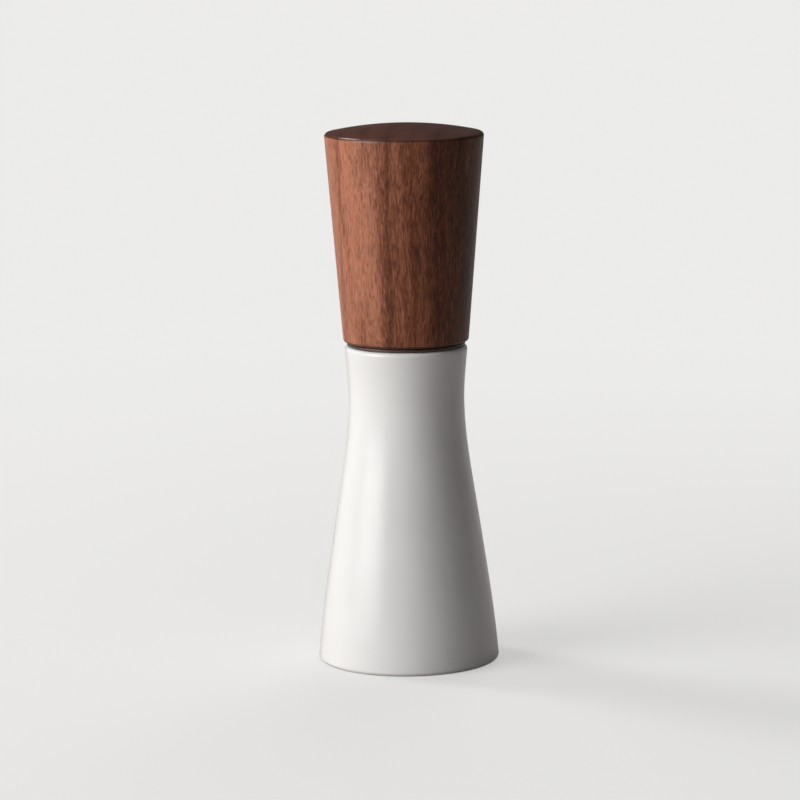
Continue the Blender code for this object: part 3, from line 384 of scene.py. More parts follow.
def half_section(node):
    """The outline of a turned solid as a chain of (radius, height), and whether the chain is closed."""
    bm = bmesh.new()
    bm.from_mesh(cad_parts[node].data)
    bmesh.ops.remove_doubles(bm, verts=bm.verts, dist=SAME)
    everything = [*bm.verts, *bm.edges, *bm.faces]
    bmesh.ops.bisect_plane(bm, geom=everything, dist=SAME, plane_co=(0, 0, 0), plane_no=(1, 0, 0))
    near = 2 * SAME
    flat = [v for v in bm.verts if abs(v.co.x) < near and v.co.y < near]
    for v in flat:
        v.tag = True
    links = {v: [e.other_vert(v) for e in v.link_edges if e.other_vert(v).tag] for v in flat}
    links = {v: found for v, found in links.items() if found}
    on_axis = [v for v in links if v.co.y > -near]
    start = max(on_axis or links, key=lambda v: v.co.z)
    chain, last, here = [start], None, start
    while True:
        ahead = [v for v in links[here] if v is not last and v not in chain[1:]]
        ahead = [v for v in ahead if not (v.co.y > -near and here.co.y > -near)]
        if not ahead or (ahead[0] is start and len(chain) > 2):
            break
        last, here = here, ahead[0]
        chain.append(here)
    points = [Vector((max(-v.co.y, 0.0), v.co.z)) for v in chain]
    bm.free()
    return without_straights(points, not on_axis), not on_axis


def without_straights(points, closed):
    """Leaves out the points that lie on the line between their neighbours."""
    kept = []
    for i, point in enumerate(points):
        if not closed and i in (0, len(points) - 1):
            kept.append(point)
            continue
        before, after = points[i - 1], points[(i + 1) % len(points)]
        line = (after - before).normalized()
        away = point - before
        if abs(line.x * away.y - line.y * away.x) > SAME:
            kept.append(point)
    return kept


def flowing(points, start_slope=None):
    """A smooth curve through points that bend gently; a long side beside a short one stays straight."""
    if len(points) == 2:
        return points
    sides = [b - a for a, b in zip(points, points[1:])]
    slopes = [None] * len(points)
    slopes[0] = start_slope or sides[0].normalized()
    slopes[-1] = sides[-1].normalized()
    joints = []
    for i, (back, ahead) in enumerate(zip(sides, sides[1:]), 1):
        if max(back.length, ahead.length) > 3 * min(back.length, ahead.length):
            joints.append(i)
            continue
        slopes[i] = (back.normalized() * ahead.length + ahead.normalized() * back.length).normalized()
    for i in joints:
        step = -1 if sides[i - 1].length > sides[i].length else 1
        along = sides[i - 1 if step < 0 else i].normalized()
        far = slopes[i + step]
        lone = far is None or i + step in (0, len(points) - 1)
        slopes[i] = along if lone else (2 * along - far).normalized()
    curve = [points[0]]
    for i, side in enumerate(sides):
        a, b, length = points[i], points[i + 1], side.length
        steps = max(3, math.ceil(length / CURVE_STEP))
        for k in range(1, steps + 1):
            u = k / steps
            rise = a * (2 * u**3 - 3 * u**2 + 1) + b * (3 * u**2 - 2 * u**3)
            lean = slopes[i] * (u**3 - 2 * u**2 + u) + slopes[i + 1] * (u**3 - u**2)
            curve.append(rise + lean * length)
    return curve


def rounded(before, corner, after, ease):
    """The points that take a corner round, with a point just before and after them."""
    back, ahead = before - corner, after - corner
    reach = min(ease, 0.42 * back.length, 0.42 * ahead.length)
    start, end = corner + back.normalized() * reach, corner + ahead.normalized() * reach
    made = []
    if back.length > 3 * reach:
        made.append(start + back.normalized() * 0.35 * reach)
    for u in (0.0, 0.25, 0.5, 0.75, 1.0):
        made.append(start * (1 - u) ** 2 + corner * 2 * u * (1 - u) + end * u**2)
    if ahead.length > 3 * reach:
        made.append(end + ahead.normalized() * 0.35 * reach)
    return made


def refined(points, closed, ease):
    """The outline with smooth curves and eased corners."""
    count = len(points)
    sides = [b - a for a, b in zip(points, [*points[1:], points[0]])]
    inside = range(count) if closed else range(1, count - 1)
    corners = [i for i in inside if sides[i - 1].angle(sides[i]) > CORNER]
    stops = corners + [corners[0] + count] if closed else [0, *corners, count - 1]
    runs = []
    for first, last in zip(stops, stops[1:]):
        run = [points[i % count] for i in range(first, last + 1)]
        level = Vector((1.0, 0.0))
        start = level if not closed and first == 0 and run[0].x == 0 and len(run) > 2 else None
        runs.append(flowing(run, start))
    outline = []
    for i, run in enumerate(runs):
        first_end = not closed and i == 0
        before = None if first_end else runs[i - 1][-2]
        outline += [run[0]] if first_end else rounded(before, run[0], run[1], ease)
        outline += run[1:-1]
    if not closed:
        outline.append(runs[-1][-1])
    return outline


body_outline, body_closed = half_section("body_shell")
print("the outline of the body's solid has", len(body_outline), "points")

# %% [markdown]
# ## Turning a piece
#
# The refined outline becomes a chain of edges, and a Screw modifier turns it round the axis. The
# result is kept as a plain mesh, so the modifier is gone before the piece joins its body of the mill.

# %% Turn, carve and place
TURNED_FACETS, SMALL_FACETS, SCREW_FACETS = 160, 96, 32
SHARP = math.radians(32)  # a bend in the surface sharper than this shades as an edge


def evaluated(obj):
    """Replaces an object's mesh by what its modifiers make of it, and removes them."""
    graph = bpy.context.evaluated_depsgraph_get()
    mesh = bpy.data.meshes.new_from_object(obj.evaluated_get(graph))
    obj.modifiers.clear()
    obj.data = mesh
    return obj


def new_object(name, mesh, finish=None):
    made = bpy.data.objects.new(name, mesh)
    bpy.context.scene.collection.objects.link(made)
    if finish:
        mesh.materials.append(finish)
    return made


def object_of(name, bm, finish=None):
    """Makes an object of a BMesh, and frees it."""
    mesh = bpy.data.meshes.new(name)
    bm.to_mesh(mesh)
    bm.free()
    return new_object(name, mesh, finish)


def face_out(obj):
    """Merges doubles and points the faces outwards."""
    bm = bmesh.new()
    bm.from_mesh(obj.data)
    bmesh.ops.remove_doubles(bm, verts=bm.verts, dist=SAME)
    bmesh.ops.recalc_face_normals(bm, faces=bm.faces)
    bm.to_mesh(obj.data)
    bm.free()
    obj.data.shade_smooth()
    obj.data.set_sharp_from_angle(angle=SHARP)
    return obj


def turned(name, outline, closed, finish, facets=TURNED_FACETS):
    """Turns an outline of (radius, height) points round the axis."""
    edges = [(i, i + 1) for i in range(len(outline) - 1)]
    if closed:
        edges.append((len(outline) - 1, 0))
    mesh = bpy.data.meshes.new(name)
    mesh.from_pydata([(p.x, 0, p.y) for p in outline], edges, [])
    made = new_object(name, mesh, finish)
    screw = made.modifiers.new("turn", "SCREW")
    screw.steps = screw.render_steps = facets
    screw.merge_threshold = SAME
    screw.use_merge_vertices = True
    return face_out(evaluated(made))


def prism(name, radius, low, high, sides, centre=(0, 0), first=0.0):
    """An upright bar to carve with, with a corner at the angle first."""
    bm = bmesh.new()
    where = Matrix.Translation((*centre, (low + high) / 2)) @ Matrix.Rotation(first - TURN / 4, 4, "Z")
    size = {"radius1": radius, "radius2": radius, "depth": high - low}
    bmesh.ops.create_cone(bm, cap_ends=True, segments=sides, matrix=where, **size)
    return object_of(name, bm)


def combined(target, operation, others):
    """Joins other objects to the target, or cuts them out of it, and throws them away."""
    for other in others:
        modifier = target.modifiers.new(other.name, "BOOLEAN")
        modifier.operation = operation
        modifier.object = other
    evaluated(target)
    for other in others:
        bpy.data.objects.remove(other)
    return face_out(target)


def carve(target, tools):
    return combined(target, "DIFFERENCE", tools)


def place(piece, body, slot, *nodes):
    """Makes a piece stand for its solids and move with its body; the slot is not used."""
    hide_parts(*nodes)
    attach(piece, body)
    print(f"{piece.name}: {len(piece.data.polygons)} faces on {body}")
    return piece


# %% [markdown]
# ## The ceramic body
#
# One turned piece, open at both ends. Its foot ring is bare, so the faces that touch the table get
# the second material.

# %% Ceramic body
def bare_below(piece, height):
    """Gives the faces below a height the piece's second material."""
    for face in piece.data.polygons:
        if face.center.z < height:
            face.material_index = 1


body = turned("ceramic_body", refined(body_outline, body_closed, 0.4 * MM), body_closed, glaze)
body.data.materials.append(bare_foot)
bare_below(body, 0.12 * MM)
place(body, "body", "white_glaze", "body_shell")

# %% [markdown]
# ## The turned pieces
#
# Most of the mill is turned or moulded round, so the same three steps make it: read, refine, turn.
# Where screws pass through, or the shaft needs a hexagonal hole, the turned piece is carved after.

# %% Screw holes and the hexagonal hole
SCREW_ANGLES = [TURN / 4 + TURN * i / 3 for i in range(3)]
SHANK_HOLE, HEAD_HOLE = 1.5 * MM, 2.5 * MM
HEX_ROOM = 0.3 * MM / math.cos(TURN / 12)  # at the corners, for 0.3 mm at the flats
HEX_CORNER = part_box("drive_shaft")[1].y + HEX_ROOM


def screw_circle(node):
    """How far the screws of one set stand from the axis; the first of them stands towards +Y."""
    low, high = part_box(f"{node}_1")
    return (low.y + high.y) / 2


def drills(node, radius, low, high):
    """One round bar for each screw of a set, to drill its hole with."""
    places = [round_axis(a, screw_circle(node)) for a in SCREW_ANGLES]
    return [prism(f"drill_{i}", radius, low, high, SCREW_FACETS, c) for i, c in enumerate(places)]


def hex_tool(node):
    """A hexagonal bar, to make room in a piece for the shaft."""
    low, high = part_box(node)
    return prism("hex_tool", HEX_CORNER, low.z - MM, high.z + MM, 6, first=TURN / 4)


def solid_core(outline):
    """Narrows the bore of an outline, so that a hexagonal hole can be carved in its place."""
    bore = min(p.x for p in outline)
    return [Vector((bore * 0.6, p.y)) if p.x < bore + 10 * SAME else p for p in outline]


def turned_like(node, name, finish, ease, facets=TURNED_FACETS, shape=None):
    """Turns the refined outline of a solid, after a change to its shape if one is given."""
    outline, closed = half_section(node)
    outline = shape(outline) if shape else outline
    return turned(name, refined(outline, closed, ease), closed, finish, facets)


circles = [screw_circle(node) / MM for node in ("cover_screw", "insert_screw")]
print("screws {:.1f} mm from the axis in the base and {:.1f} mm in the head".format(*circles))

# %% Head, collar and insert
insert_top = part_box("head_insert")[1].z
head = turned_like("head_shell", "walnut_head", walnut, 0.35 * MM)
screw_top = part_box("insert_screw_1")[1].z
carve(head, drills("insert_screw", SHANK_HOLE, insert_top - MM, screw_top + 0.3 * MM))
place(head, "head", "walnut", "head_shell")

collar = turned_like("neck_collar", "collar", collar_plastic, 0.25 * MM)
place(collar, "body", "collar_plastic", "neck_collar")

insert = turned_like("head_insert", "insert", collar_plastic, 0.2 * MM)
carve(insert, drills("insert_screw", SHANK_HOLE, insert_top - 4 * MM, insert_top + MM))
place(insert, "head", "collar_plastic", "head_insert")

rubber = turned_like("spigot_ring", "rubber_ring", silicone, 0.1 * MM)
place(rubber, "head", "silicone", "spigot_ring")

# %% Drive socket
socket = turned_like("shaft_socket", "drive_socket", grey_plastic, 0.2 * MM, SMALL_FACETS, solid_core)
outline, _ = half_section("shaft_socket")
flange = [p.y for p in outline if p.x > 0.9 * max(q.x for q in outline)]
drill_ends = min(flange) - MM, max(flange) + 0.2 * MM
carve(socket, [hex_tool("shaft_socket"), *drills("insert_screw", SHANK_HOLE, *drill_ends)])
place(socket, "head", "grey_plastic", "shaft_socket")

# %% Pieces of the base
SINK_DEPTH = 1.05 * MM
cover = turned_like("base_cover", "cover", black_plastic, 0.3 * MM)
cover_low, cover_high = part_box("base_cover")
carve(cover, drills("cover_screw", SHANK_HOLE, cover_low.z - MM, cover_high.z + MM))
carve(cover, drills("cover_screw", HEAD_HOLE, cover_low.z - MM, cover_low.z + SINK_DEPTH))
place(cover, "body", "black_plastic", "base_cover")

for name, node, finish, slot in (
    ("gasket", "base_gasket", silicone, "silicone"),
    ("housing", "grinder_housing", grey_plastic, "grey_plastic"),
    ("burr_ring", "burr_retainer", black_plastic, "black_plastic"),
):
    place(turned_like(node, name, finish, 0.2 * MM), "body", slot, node)

# %% Journal and washer
journal = turned_like("shaft_journal", "journal", black_plastic, 0.15 * MM, SMALL_FACETS, solid_core)
place(carve(journal, [hex_tool("shaft_journal")]), "shaft", "black_plastic", "shaft_journal")

washer = turned_like("thrust_washer", "washer", steel, 0.12 * MM, SMALL_FACETS)
place(washer, "rotor", "steel", "thrust_washer")

# %% [markdown]
# ## What repeats round the axis
#
# Teeth, flutes and screws repeat round the mill's axis. A Geometry Nodes tree takes one copy, puts it
# on as many points as asked, turns each by its share of a full turn, joins them and merges the seams.

# %% A tree that repeats a piece round the axis
def tree_with_sockets(name, sockets):
    """A geometry tree with its inputs and a finish; returns it, its input node and its output node."""
    tree = bpy.data.node_groups.new(name, "GeometryNodeTree")
    for title, kind in {**sockets, "Finish": "Material"}.items():
        tree.interface.new_socket(title, in_out="INPUT", socket_type=f"NodeSocket{kind}")
    tree.interface.new_socket("Geometry", in_out="OUTPUT", socket_type="NodeSocketGeometry")
    return tree, add(tree, "NodeGroupInput").outputs, add(tree, "NodeGroupOutput").inputs


def paint(tree, given, result, geometry):
    """Gives a tree's geometry the finish, and hands it out."""
    inputs = {"Geometry": geometry, "Material": given["Finish"]}
    painted = add(tree, "GeometryNodeSetMaterial", inputs).outputs[0]
    tree.links.new(painted, result["Geometry"])


def make_repeat_tree():
    sockets = {"One copy": "Geometry", "Count": "Int", "First angle": "Float", "Merge within": "Float"}
    tree, given, result = tree_with_sockets("repeat round the axis", sockets)
    inputs = {"Count": given["Count"], "Offset": (0, 0, 0)}
    points = add(tree, "GeometryNodeMeshLine", inputs).outputs[0]
    step = math_node("DIVIDE", TURN, given["Count"])
    index = add(tree, "GeometryNodeInputIndex").outputs[0]
    angle = plus(times(index, step), given["First angle"])
    turn = add(tree, "ShaderNodeCombineXYZ", {"Z": angle}).outputs[0]
    inputs = {"Points": points, "Instance": given["One copy"], "Rotation": turn}
    copies = add(tree, "GeometryNodeInstanceOnPoints", inputs).outputs[0]
    solid = add(tree, "GeometryNodeRealizeInstances", {0: copies}).outputs[0]
    inputs = {"Geometry": solid, "Distance": given["Merge within"]}
    paint(tree, given, result, add(tree, "GeometryNodeMergeByDistance", inputs).outputs[0])
    return tree


def with_tree(obj, tree, **values):
    """Runs a tree on an object with inputs given by their names, and keeps the result as its mesh."""
    modifier = obj.modifiers.new(tree.name, "NODES")
    modifier.node_group = tree
    for socket in tree.interface.items_tree:
        key = socket.name.replace(" ", "_").lower()
        if socket.in_out == "INPUT" and key in values:
            modifier[socket.identifier] = values[key]
    return face_out(evaluated(obj))


repeat_tree = make_repeat_tree()
print("the repeating tree has", len(repeat_tree.nodes), "nodes")

# %% [markdown]
# ## Burrs and knob
#
# The burrs are cones with saw teeth that twist round them; the knob is a cylinder with flutes. One
# tooth of each is lofted: at every level its outline is a few points, given as a share of the pitch
# and a share of the tooth's depth. The other side of the slice is a plain wall, so the copies close.

# %% Loft one tooth
def tooth_slice(name, levels, teeth, outline, plain_radius):
    """One slice of a toothed ring; each level is (height, tip radius, tooth depth, twist)."""
    pitch = TURN / teeth
    shares = [*outline, (outline[0][0] + 1.0, outline[0][1])]
    plain_foot, plain_top = ((z, plain_radius, 0.0, 0.0) for z in (levels[0][0], levels[-1][0]))
    bm = bmesh.new()
    rings = []
    for z, tip, depth, twist in (plain_foot, *levels, plain_top):
        points = [round_axis(twist + along * pitch, tip - depth * down, z) for along, down in shares]
        rings.append([bm.verts.new(point) for point in points])
    for low, high in zip(rings, [*rings[1:], rings[0]]):
        for i in range(len(low) - 1):
            bm.faces.new((low[i], low[i + 1], high[i + 1], high[i]))
    return object_of(name, bm)


def radii_at(node, height):
    """The smallest and largest distance from the axis of a solid's corners at a height."""
    corners = [v.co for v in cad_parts[node].data.vertices]
    found = [math.hypot(co.x, co.y) for co in corners if abs(co.z - height) < 10 * SAME]
    return min(found), max(found)


outer_low, outer_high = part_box("outer_burr")
inner_low, inner_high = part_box("inner_burr")
knob_low, knob_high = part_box("adjust_knob")
print(f"outer burr from {radii_at('outer_burr', outer_low.z)[0] / MM:.2f} mm at its exit")

# %% Grind the burrs
TOOTH_DEPTH = 0.8 * MM
TOOTH_LEVELS = 5  # between one given level and the next
# crest, slope, root and the steep cutting face, with small rounds at the crest and the root
SAW_TOOTH = [
    (0.0, 0.05), (0.025, 0.0), (0.2, 0.0), (0.24, 0.05), (0.3, 0.2),
    (0.56, 0.85), (0.6, 0.97), (0.64, 0.97), (0.68, 0.88), (0.96, 0.14),
]
OUTER_TEETH, INNER_TEETH = 18, 14
OUTER_TWIST, INNER_TWIST = math.radians(-16), math.radians(34)
THROAT = outer_low.z + 3.2 * MM
BURR_BORE = 3 * MM  # of the slices, before the hexagonal hole is carved


def between(levels):
    """Adds evenly spaced levels between the given ones."""
    made = [levels[0]]
    for low, high in zip(levels, levels[1:]):
        for k in range(1, TOOTH_LEVELS + 1):
            made.append(tuple(a + (b - a) * k / TOOTH_LEVELS for a, b in zip(low, high)))
    return made


def all_round(name, slice_object, count, finish):
    """Closes a toothed ring from its slice."""
    slice_object.name = name
    values = {"count": count, "first_angle": 0.0, "merge_within": 2 * SAME, "finish": finish}
    return with_tree(slice_object, repeat_tree, **values)


outer_levels = [
    (z, radii_at("outer_burr", z)[0] + TOOTH_DEPTH, TOOTH_DEPTH, OUTER_TWIST * share)
    for z, share in ((outer_low.z, -0.5), (THROAT, 0.0), (outer_high.z, 0.67))
]
inner_levels = [
    (z, radii_at("inner_burr", z)[1], TOOTH_DEPTH, INNER_TWIST * share)
    for z, share in ((inner_low.z, -0.2), (outer_low.z, 0.0), (THROAT, 0.4), (inner_high.z, 1.0))
]
tooth = tooth_slice("outer_teeth", between(outer_levels), OUTER_TEETH, SAW_TOOTH, outer_high.y)
ring_burr = all_round("ring_burr", tooth, OUTER_TEETH, burr_ceramic)
place(ring_burr, "body", "burr_ceramic", "outer_burr")
tooth = tooth_slice("inner_teeth", between(inner_levels), INNER_TEETH, SAW_TOOTH, BURR_BORE)
cone_burr = carve(all_round("cone_burr", tooth, INNER_TEETH, burr_ceramic), [hex_tool("inner_burr")])
place(cone_burr, "rotor", "burr_ceramic", "inner_burr")

# %% [markdown]
# ## Adjusting knob
#
# The knob has wide lands that taper off into a chamfer and narrow round-bottomed flutes between them.
# It holds a brass nut in a hexagonal pocket, open on its upper side.

# %% Knob
KNOB_FLUTES = 12
KNOB_BORE = 3.6 * MM
KNOB_EDGE = 0.6 * MM
FLUTE_DEPTH = 0.8 * MM
FLUTE = [
    (-0.25, 0.03), (-0.2, 0.0), (0.0, 0.0), (0.2, 0.0), (0.27, 0.06), (0.33, 0.3),
    (0.38, 0.6), (0.43, 0.8), (0.5, 0.87), (0.57, 0.8), (0.62, 0.6), (0.67, 0.3),
]
BORE_FACETS = 48
knob_radius = radii_at("adjust_knob", knob_low.z + KNOB_EDGE)[1]
edge = [(math.sin(a), 1 - math.cos(a)) for a in (TURN / 4 * i / 5 for i in range(6))]
knob_rings = [(knob_low.z + KNOB_EDGE * (1 - s), knob_radius - KNOB_EDGE * c) for s, c in edge[::-1]]
knob_rings += [(knob_high.z - KNOB_EDGE * (1 - s), knob_radius - KNOB_EDGE * c) for s, c in edge]
knob_levels = [(z, r, FLUTE_DEPTH, 0.0) for z, r in knob_rings]
flute = tooth_slice("flutes", knob_levels, KNOB_FLUTES, FLUTE, 2 * MM)
nut_low, nut_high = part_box("knob_nut")
pocket_floor = nut_low.z - 0.3 * MM
pocket = prism("pocket", nut_high.y + HEX_ROOM, pocket_floor, knob_high.z + MM, 6, first=TURN / 4)
bore = prism("knob_bore", KNOB_BORE, knob_low.z - MM, nut_high.z, BORE_FACETS)
knob = carve(all_round("knob", flute, KNOB_FLUTES, grey_plastic), [pocket, bore])
place(knob, "knob", "grey_plastic", "adjust_knob")

# %% [markdown]
# ## Bars
#
# The shaft and its nut are bars whose radius changes with the angle and the height: a hexagon with
# its corners knocked off, a round groove for the clip, and a thread that climbs one pitch a turn. So
# one loft makes both, from a list of heights with a rule for the radius at each.

# %% Loft a bar
def lofted(name, outlines, finish=None):
    """A skin over a row of outlines with equally many points, closed at both ends."""
    bm = bmesh.new()
    rings = [[bm.verts.new(point) for point in outline] for outline in outlines]
    for low, high in zip(rings, rings[1:]):
        for i in range(len(low)):
            j = (i + 1) % len(low)
            bm.faces.new((low[i], low[j], high[j], high[i]))
    bm.faces.new(rings[0])
    bm.faces.new(rings[-1])
    return object_of(name, bm, finish)


def bar(name, levels, finish):
    """A bar through levels of (height, rule); a rule gives the radius at an angle."""
    angles = [TURN * i / SMALL_FACETS for i in range(SMALL_FACETS)]
    outlines = [[round_axis(a, radius_at(a), z) for a in angles] for z, radius_at in levels]
    return face_out(lofted(name, outlines, finish))


def hexagon(flats, most):
    """The radius of a hexagon by its width over flats, held to the most allowed at its corners."""
    sixth = TURN / 6
    return lambda a: min(flats / 2 / math.cos((a + sixth / 2) % sixth - sixth / 2), most)


def round_bar(radius):
    return lambda a: radius


def threaded(z, radius, pitch, depth):
    """The radius of a right-hand thread at height z."""
    return lambda a: radius - depth * abs(2 * ((z / pitch - a / TURN) % 1.0) - 1)


# %% Shaft and nut
THREAD_PITCH, THREAD_DEPTH, THREAD_RADIUS = 1.0 * MM, 0.5 * MM, 3.0 * MM
THREAD_LEVELS = 42
GROOVE_DEPTH = 1.0 * MM
NUT_CHAMFER = 0.35 * MM
shaft_low, shaft_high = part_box("drive_shaft")
flats, corner = 2 * shaft_high.x, shaft_high.y
hex_foot = shaft_low.z + 7.2 * MM
clip_low, clip_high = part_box("shaft_clip")
groove_low, groove_high = clip_low.z - 0.15 * MM, clip_high.z + 0.15 * MM
full, eased, tip = (hexagon(flats, corner - cut * MM) for cut in (0.1, 0.35, 0.75))
groove_floor = round_bar(flats / 2 - GROOVE_DEPTH)
levels = [(shaft_low.z, round_bar(THREAD_RADIUS - 0.6 * MM))]
for i in range(1, THREAD_LEVELS + 1):
    z = shaft_low.z + 0.2 * MM + (hex_foot - shaft_low.z - 0.8 * MM) * i / THREAD_LEVELS
    levels.append((z, threaded(z, THREAD_RADIUS, THREAD_PITCH, THREAD_DEPTH)))
levels += [(z, round_bar(THREAD_RADIUS - 0.45 * MM)) for z in (levels[-1][0] + 0.1 * MM, hex_foot)]
levels += [(hex_foot, tip), (hex_foot + 0.3 * MM, full)]
levels += [(groove_low, full), (groove_low, groove_floor)]
levels += [(groove_high, groove_floor), (groove_high, full)]
levels += [(shaft_high.z - 0.7 * MM, full), (shaft_high.z - 0.3 * MM, eased), (shaft_high.z, tip)]
place(bar("hex_shaft", levels, aluminium), "shaft", "aluminium", "drive_shaft")

full, eased = (hexagon(2 * nut_high.x, nut_high.y - cut * MM) for cut in (0.05, 0.65))
levels = [(nut_low.z, eased), (nut_low.z + NUT_CHAMFER, full)]
levels += [(nut_high.z - NUT_CHAMFER, full), (nut_high.z, eased)]
nut = bar("nut", levels, brass)
carve(nut, [prism("nut_bore", THREAD_RADIUS + 0.3 * MM, 0.0, knob_high.z, BORE_FACETS)])
place(nut, "knob", "brass", "knob_nut")

# %% [markdown]
# ## Bridge, funnel and feed screw
#
# These three are moulded: a ring or a hub that could be turned, with legs, bosses, ribs or vanes
# moulded on. The turned part comes first, one arm is modelled and repeated by the tree, and the two
# are joined by a union, which leaves one skin. The arms run a little way into the ring and the hub.

# %% Join meshes, and soften a block
def joined(name, base, *additions):
    """Makes one skin of a piece and what is moulded on it, with nothing left inside."""
    base.name = name
    return combined(base, "UNION", additions)


def repeated(piece, count, finish, first=TURN / 4):
    values = {"count": count, "first_angle": first, "merge_within": 0.1 * SAME, "finish": finish}
    return with_tree(piece, repeat_tree, **values)


def bevelled(piece, width):
    """Rounds the edges of a block-like piece."""
    bevel = piece.modifiers.new("ease", "BEVEL")
    bevel.width, bevel.segments = width, 3
    bevel.limit_method, bevel.angle_limit = "ANGLE", math.radians(25)
    return face_out(evaluated(piece))


def plate(name, outline, thickness):
    """A plate across the axis from an outline in the (radius, height) plane."""
    bm = bmesh.new()
    sides = [
        [bm.verts.new((r, y, z)) for r, z in outline] for y in (-thickness / 2, thickness / 2)
    ]
    for side in sides:
        bm.faces.new(side)
    for i in range(len(outline)):
        j = (i + 1) % len(outline)
        bm.faces.new((sides[0][i], sides[0][j], sides[1][j], sides[1][i]))
    return face_out(object_of(name, bm))


def block(name, low, high):
    """A box between two corners, to carve with or to add."""
    outline = [(low[0], low[2]), (high[0], low[2]), (high[0], high[2]), (low[0], high[2])]
    made = plate(name, outline, high[1] - low[1])
    made.data.transform(Matrix.Translation((0, (low[1] + high[1]) / 2, 0)))
    return made


def ring(name, outer, inner, low, high, finish, ease=0.25 * MM, facets=TURNED_FACETS):
    """A plain ring with eased edges."""
    corners = [Vector(p) for p in ((outer, high), (outer, low), (inner, low), (inner, high))]
    return turned(name, refined(corners, True, ease), True, finish, facets)


# %% Bridge
RING_WIDE, RING_TALL = 4.0 * MM, 2.6 * MM
HUB_RADIUS, HUB_BORE, HUB_TALL = 9.0 * MM, 6.4 * MM, 5.0 * MM
LEG_WIDE, LEG_DEEP, LEG_EASE = 4.0 * MM, 2.9 * MM, 0.6 * MM
bridge_low, bridge_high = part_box("shaft_bridge")
hub_foot = bridge_high.z - HUB_TALL
knee = hub_foot - LEG_DEEP
leg_foot, leg_end = bridge_low.z + RING_TALL / 2, HUB_RADIUS - 1.3 * MM
middle = bridge_high.x - RING_WIDE / 2
leg_outline = [
    (middle - LEG_DEEP / 2, leg_foot),
    (middle + LEG_DEEP / 2, leg_foot),
    (middle + LEG_DEEP / 2, knee),
    (leg_end, bridge_high.z - 0.3 * MM),
    (leg_end, hub_foot + 0.3 * MM),
    (middle - LEG_DEEP / 2, knee - LEG_DEEP / 2),
]
legs = repeated(bevelled(plate("legs", leg_outline, LEG_WIDE), LEG_EASE), 3, grey_plastic)
sizes = bridge_high.x, bridge_high.x - RING_WIDE, bridge_low.z, bridge_low.z + RING_TALL
bridge_ring = ring("bridge_ring", *sizes, grey_plastic)
sizes = HUB_RADIUS, HUB_BORE, hub_foot, bridge_high.z
hub = ring("bridge_hub", *sizes, grey_plastic, facets=SMALL_FACETS)
place(joined("bridge", bridge_ring, hub, legs), "body", "grey_plastic", "shaft_bridge")

# %% Funnel
FUNNEL_WALL = 1.8 * MM
BOSS_RADIUS, BOSS_FOOT = 2.5 * MM, 10.3 * MM
RIB_COUNT, RIB_WIDE = 6, 1.4 * MM
funnel = turned_like("base_funnel", "funnel_wall", black_plastic, 0.25 * MM)
across = [p.x for p in half_section("base_funnel")[0]]
funnel_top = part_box("base_funnel")[1].z
sizes = BOSS_RADIUS, SHANK_HOLE, BOSS_FOOT, funnel_top - 3.6 * MM
boss = ring("boss", *sizes, black_plastic, 0.15 * MM, SCREW_FACETS)
boss.data.transform(Matrix.Translation((screw_circle("cover_screw"), 0, 0)))
rib_low = (min(across) + FUNNEL_WALL / 2, -RIB_WIDE / 2, BOSS_FOOT)
rib_high = (max(across) - 3.2 * MM, RIB_WIDE / 2, funnel_top - 2.9 * MM)
ribs = repeated(block("ribs", rib_low, rib_high), RIB_COUNT, black_plastic, 0.0)
bosses = repeated(boss, 3, black_plastic)
place(joined("funnel", funnel, bosses, ribs), "body", "black_plastic", "base_funnel")

# %% Feed screw
VANE_SWEEP, VANE_STEPS = math.radians(75), 24
VANE_ROOT, VANE_REACH, VANE_THICKNESS = 5.8 * MM, 13.4 * MM, 1.3 * MM
FEED_RADIUS, FEED_BORE = 6.8 * MM, 3.0 * MM
feed_low, feed_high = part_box("feed_screw")


def vane():
    """One sloping vane, swept round the hub as it climbs."""
    foot_z, top_z = feed_low.z + 0.3 * MM, feed_high.z - 0.3 * MM - VANE_THICKNESS
    tip, top, ease = VANE_REACH, VANE_THICKNESS, 0.3 * MM
    section = [(VANE_ROOT, 0), (tip - ease, 0), (tip, ease)]
    section += [(tip, top - ease), (tip - ease, top), (VANE_ROOT, top)]
    outlines = []
    for k in range(VANE_STEPS + 1):
        share = k / VANE_STEPS
        angle, z = VANE_SWEEP * share, foot_z + (top_z - foot_z) * share
        # the leading and trailing edges are cut back in a curve
        reach = 1.0 - 0.10 * abs(2 * share - 1) ** 6
        outlines.append([round_axis(angle, r * reach, z + up) for r, up in section])
    return lofted("vane", outlines)


sizes = FEED_RADIUS, FEED_BORE, feed_low.z, feed_high.z
feed_hub = ring("feed_hub", *sizes, grey_plastic, facets=SMALL_FACETS)
carve(feed_hub, [hex_tool("feed_screw")])
feed = joined("feed_vanes", feed_hub, repeated(vane(), 3, grey_plastic))
place(feed, "rotor", "grey_plastic", "feed_screw")

# %% [markdown]
# ## Clip, screws, spring and wire ring
#
# Small metal pieces. The clip is a stamped ring with an open mouth. The screws have a pan head with
# a cross recess and a rolled thread. The spring and the wire ring are both wire along a coil, so one
# tree makes them: a spiral is laid flat at its ends, and a circle is swept along it.

# %% Clip
MOUTH_SHARE = 0.78  # of the clip's bore
clip = turned_like("shaft_clip", "clip", steel, 0.12 * MM, SMALL_FACETS)
half = min(p.x for p in half_section("shaft_clip")[0]) * MOUTH_SHARE
mouth = block("clip_mouth", (0, -half, clip_low.z - MM), (clip_high.y * 2, half, clip_high.z + MM))
place(carve(clip, [mouth]), "shaft", "steel", "shaft_clip")


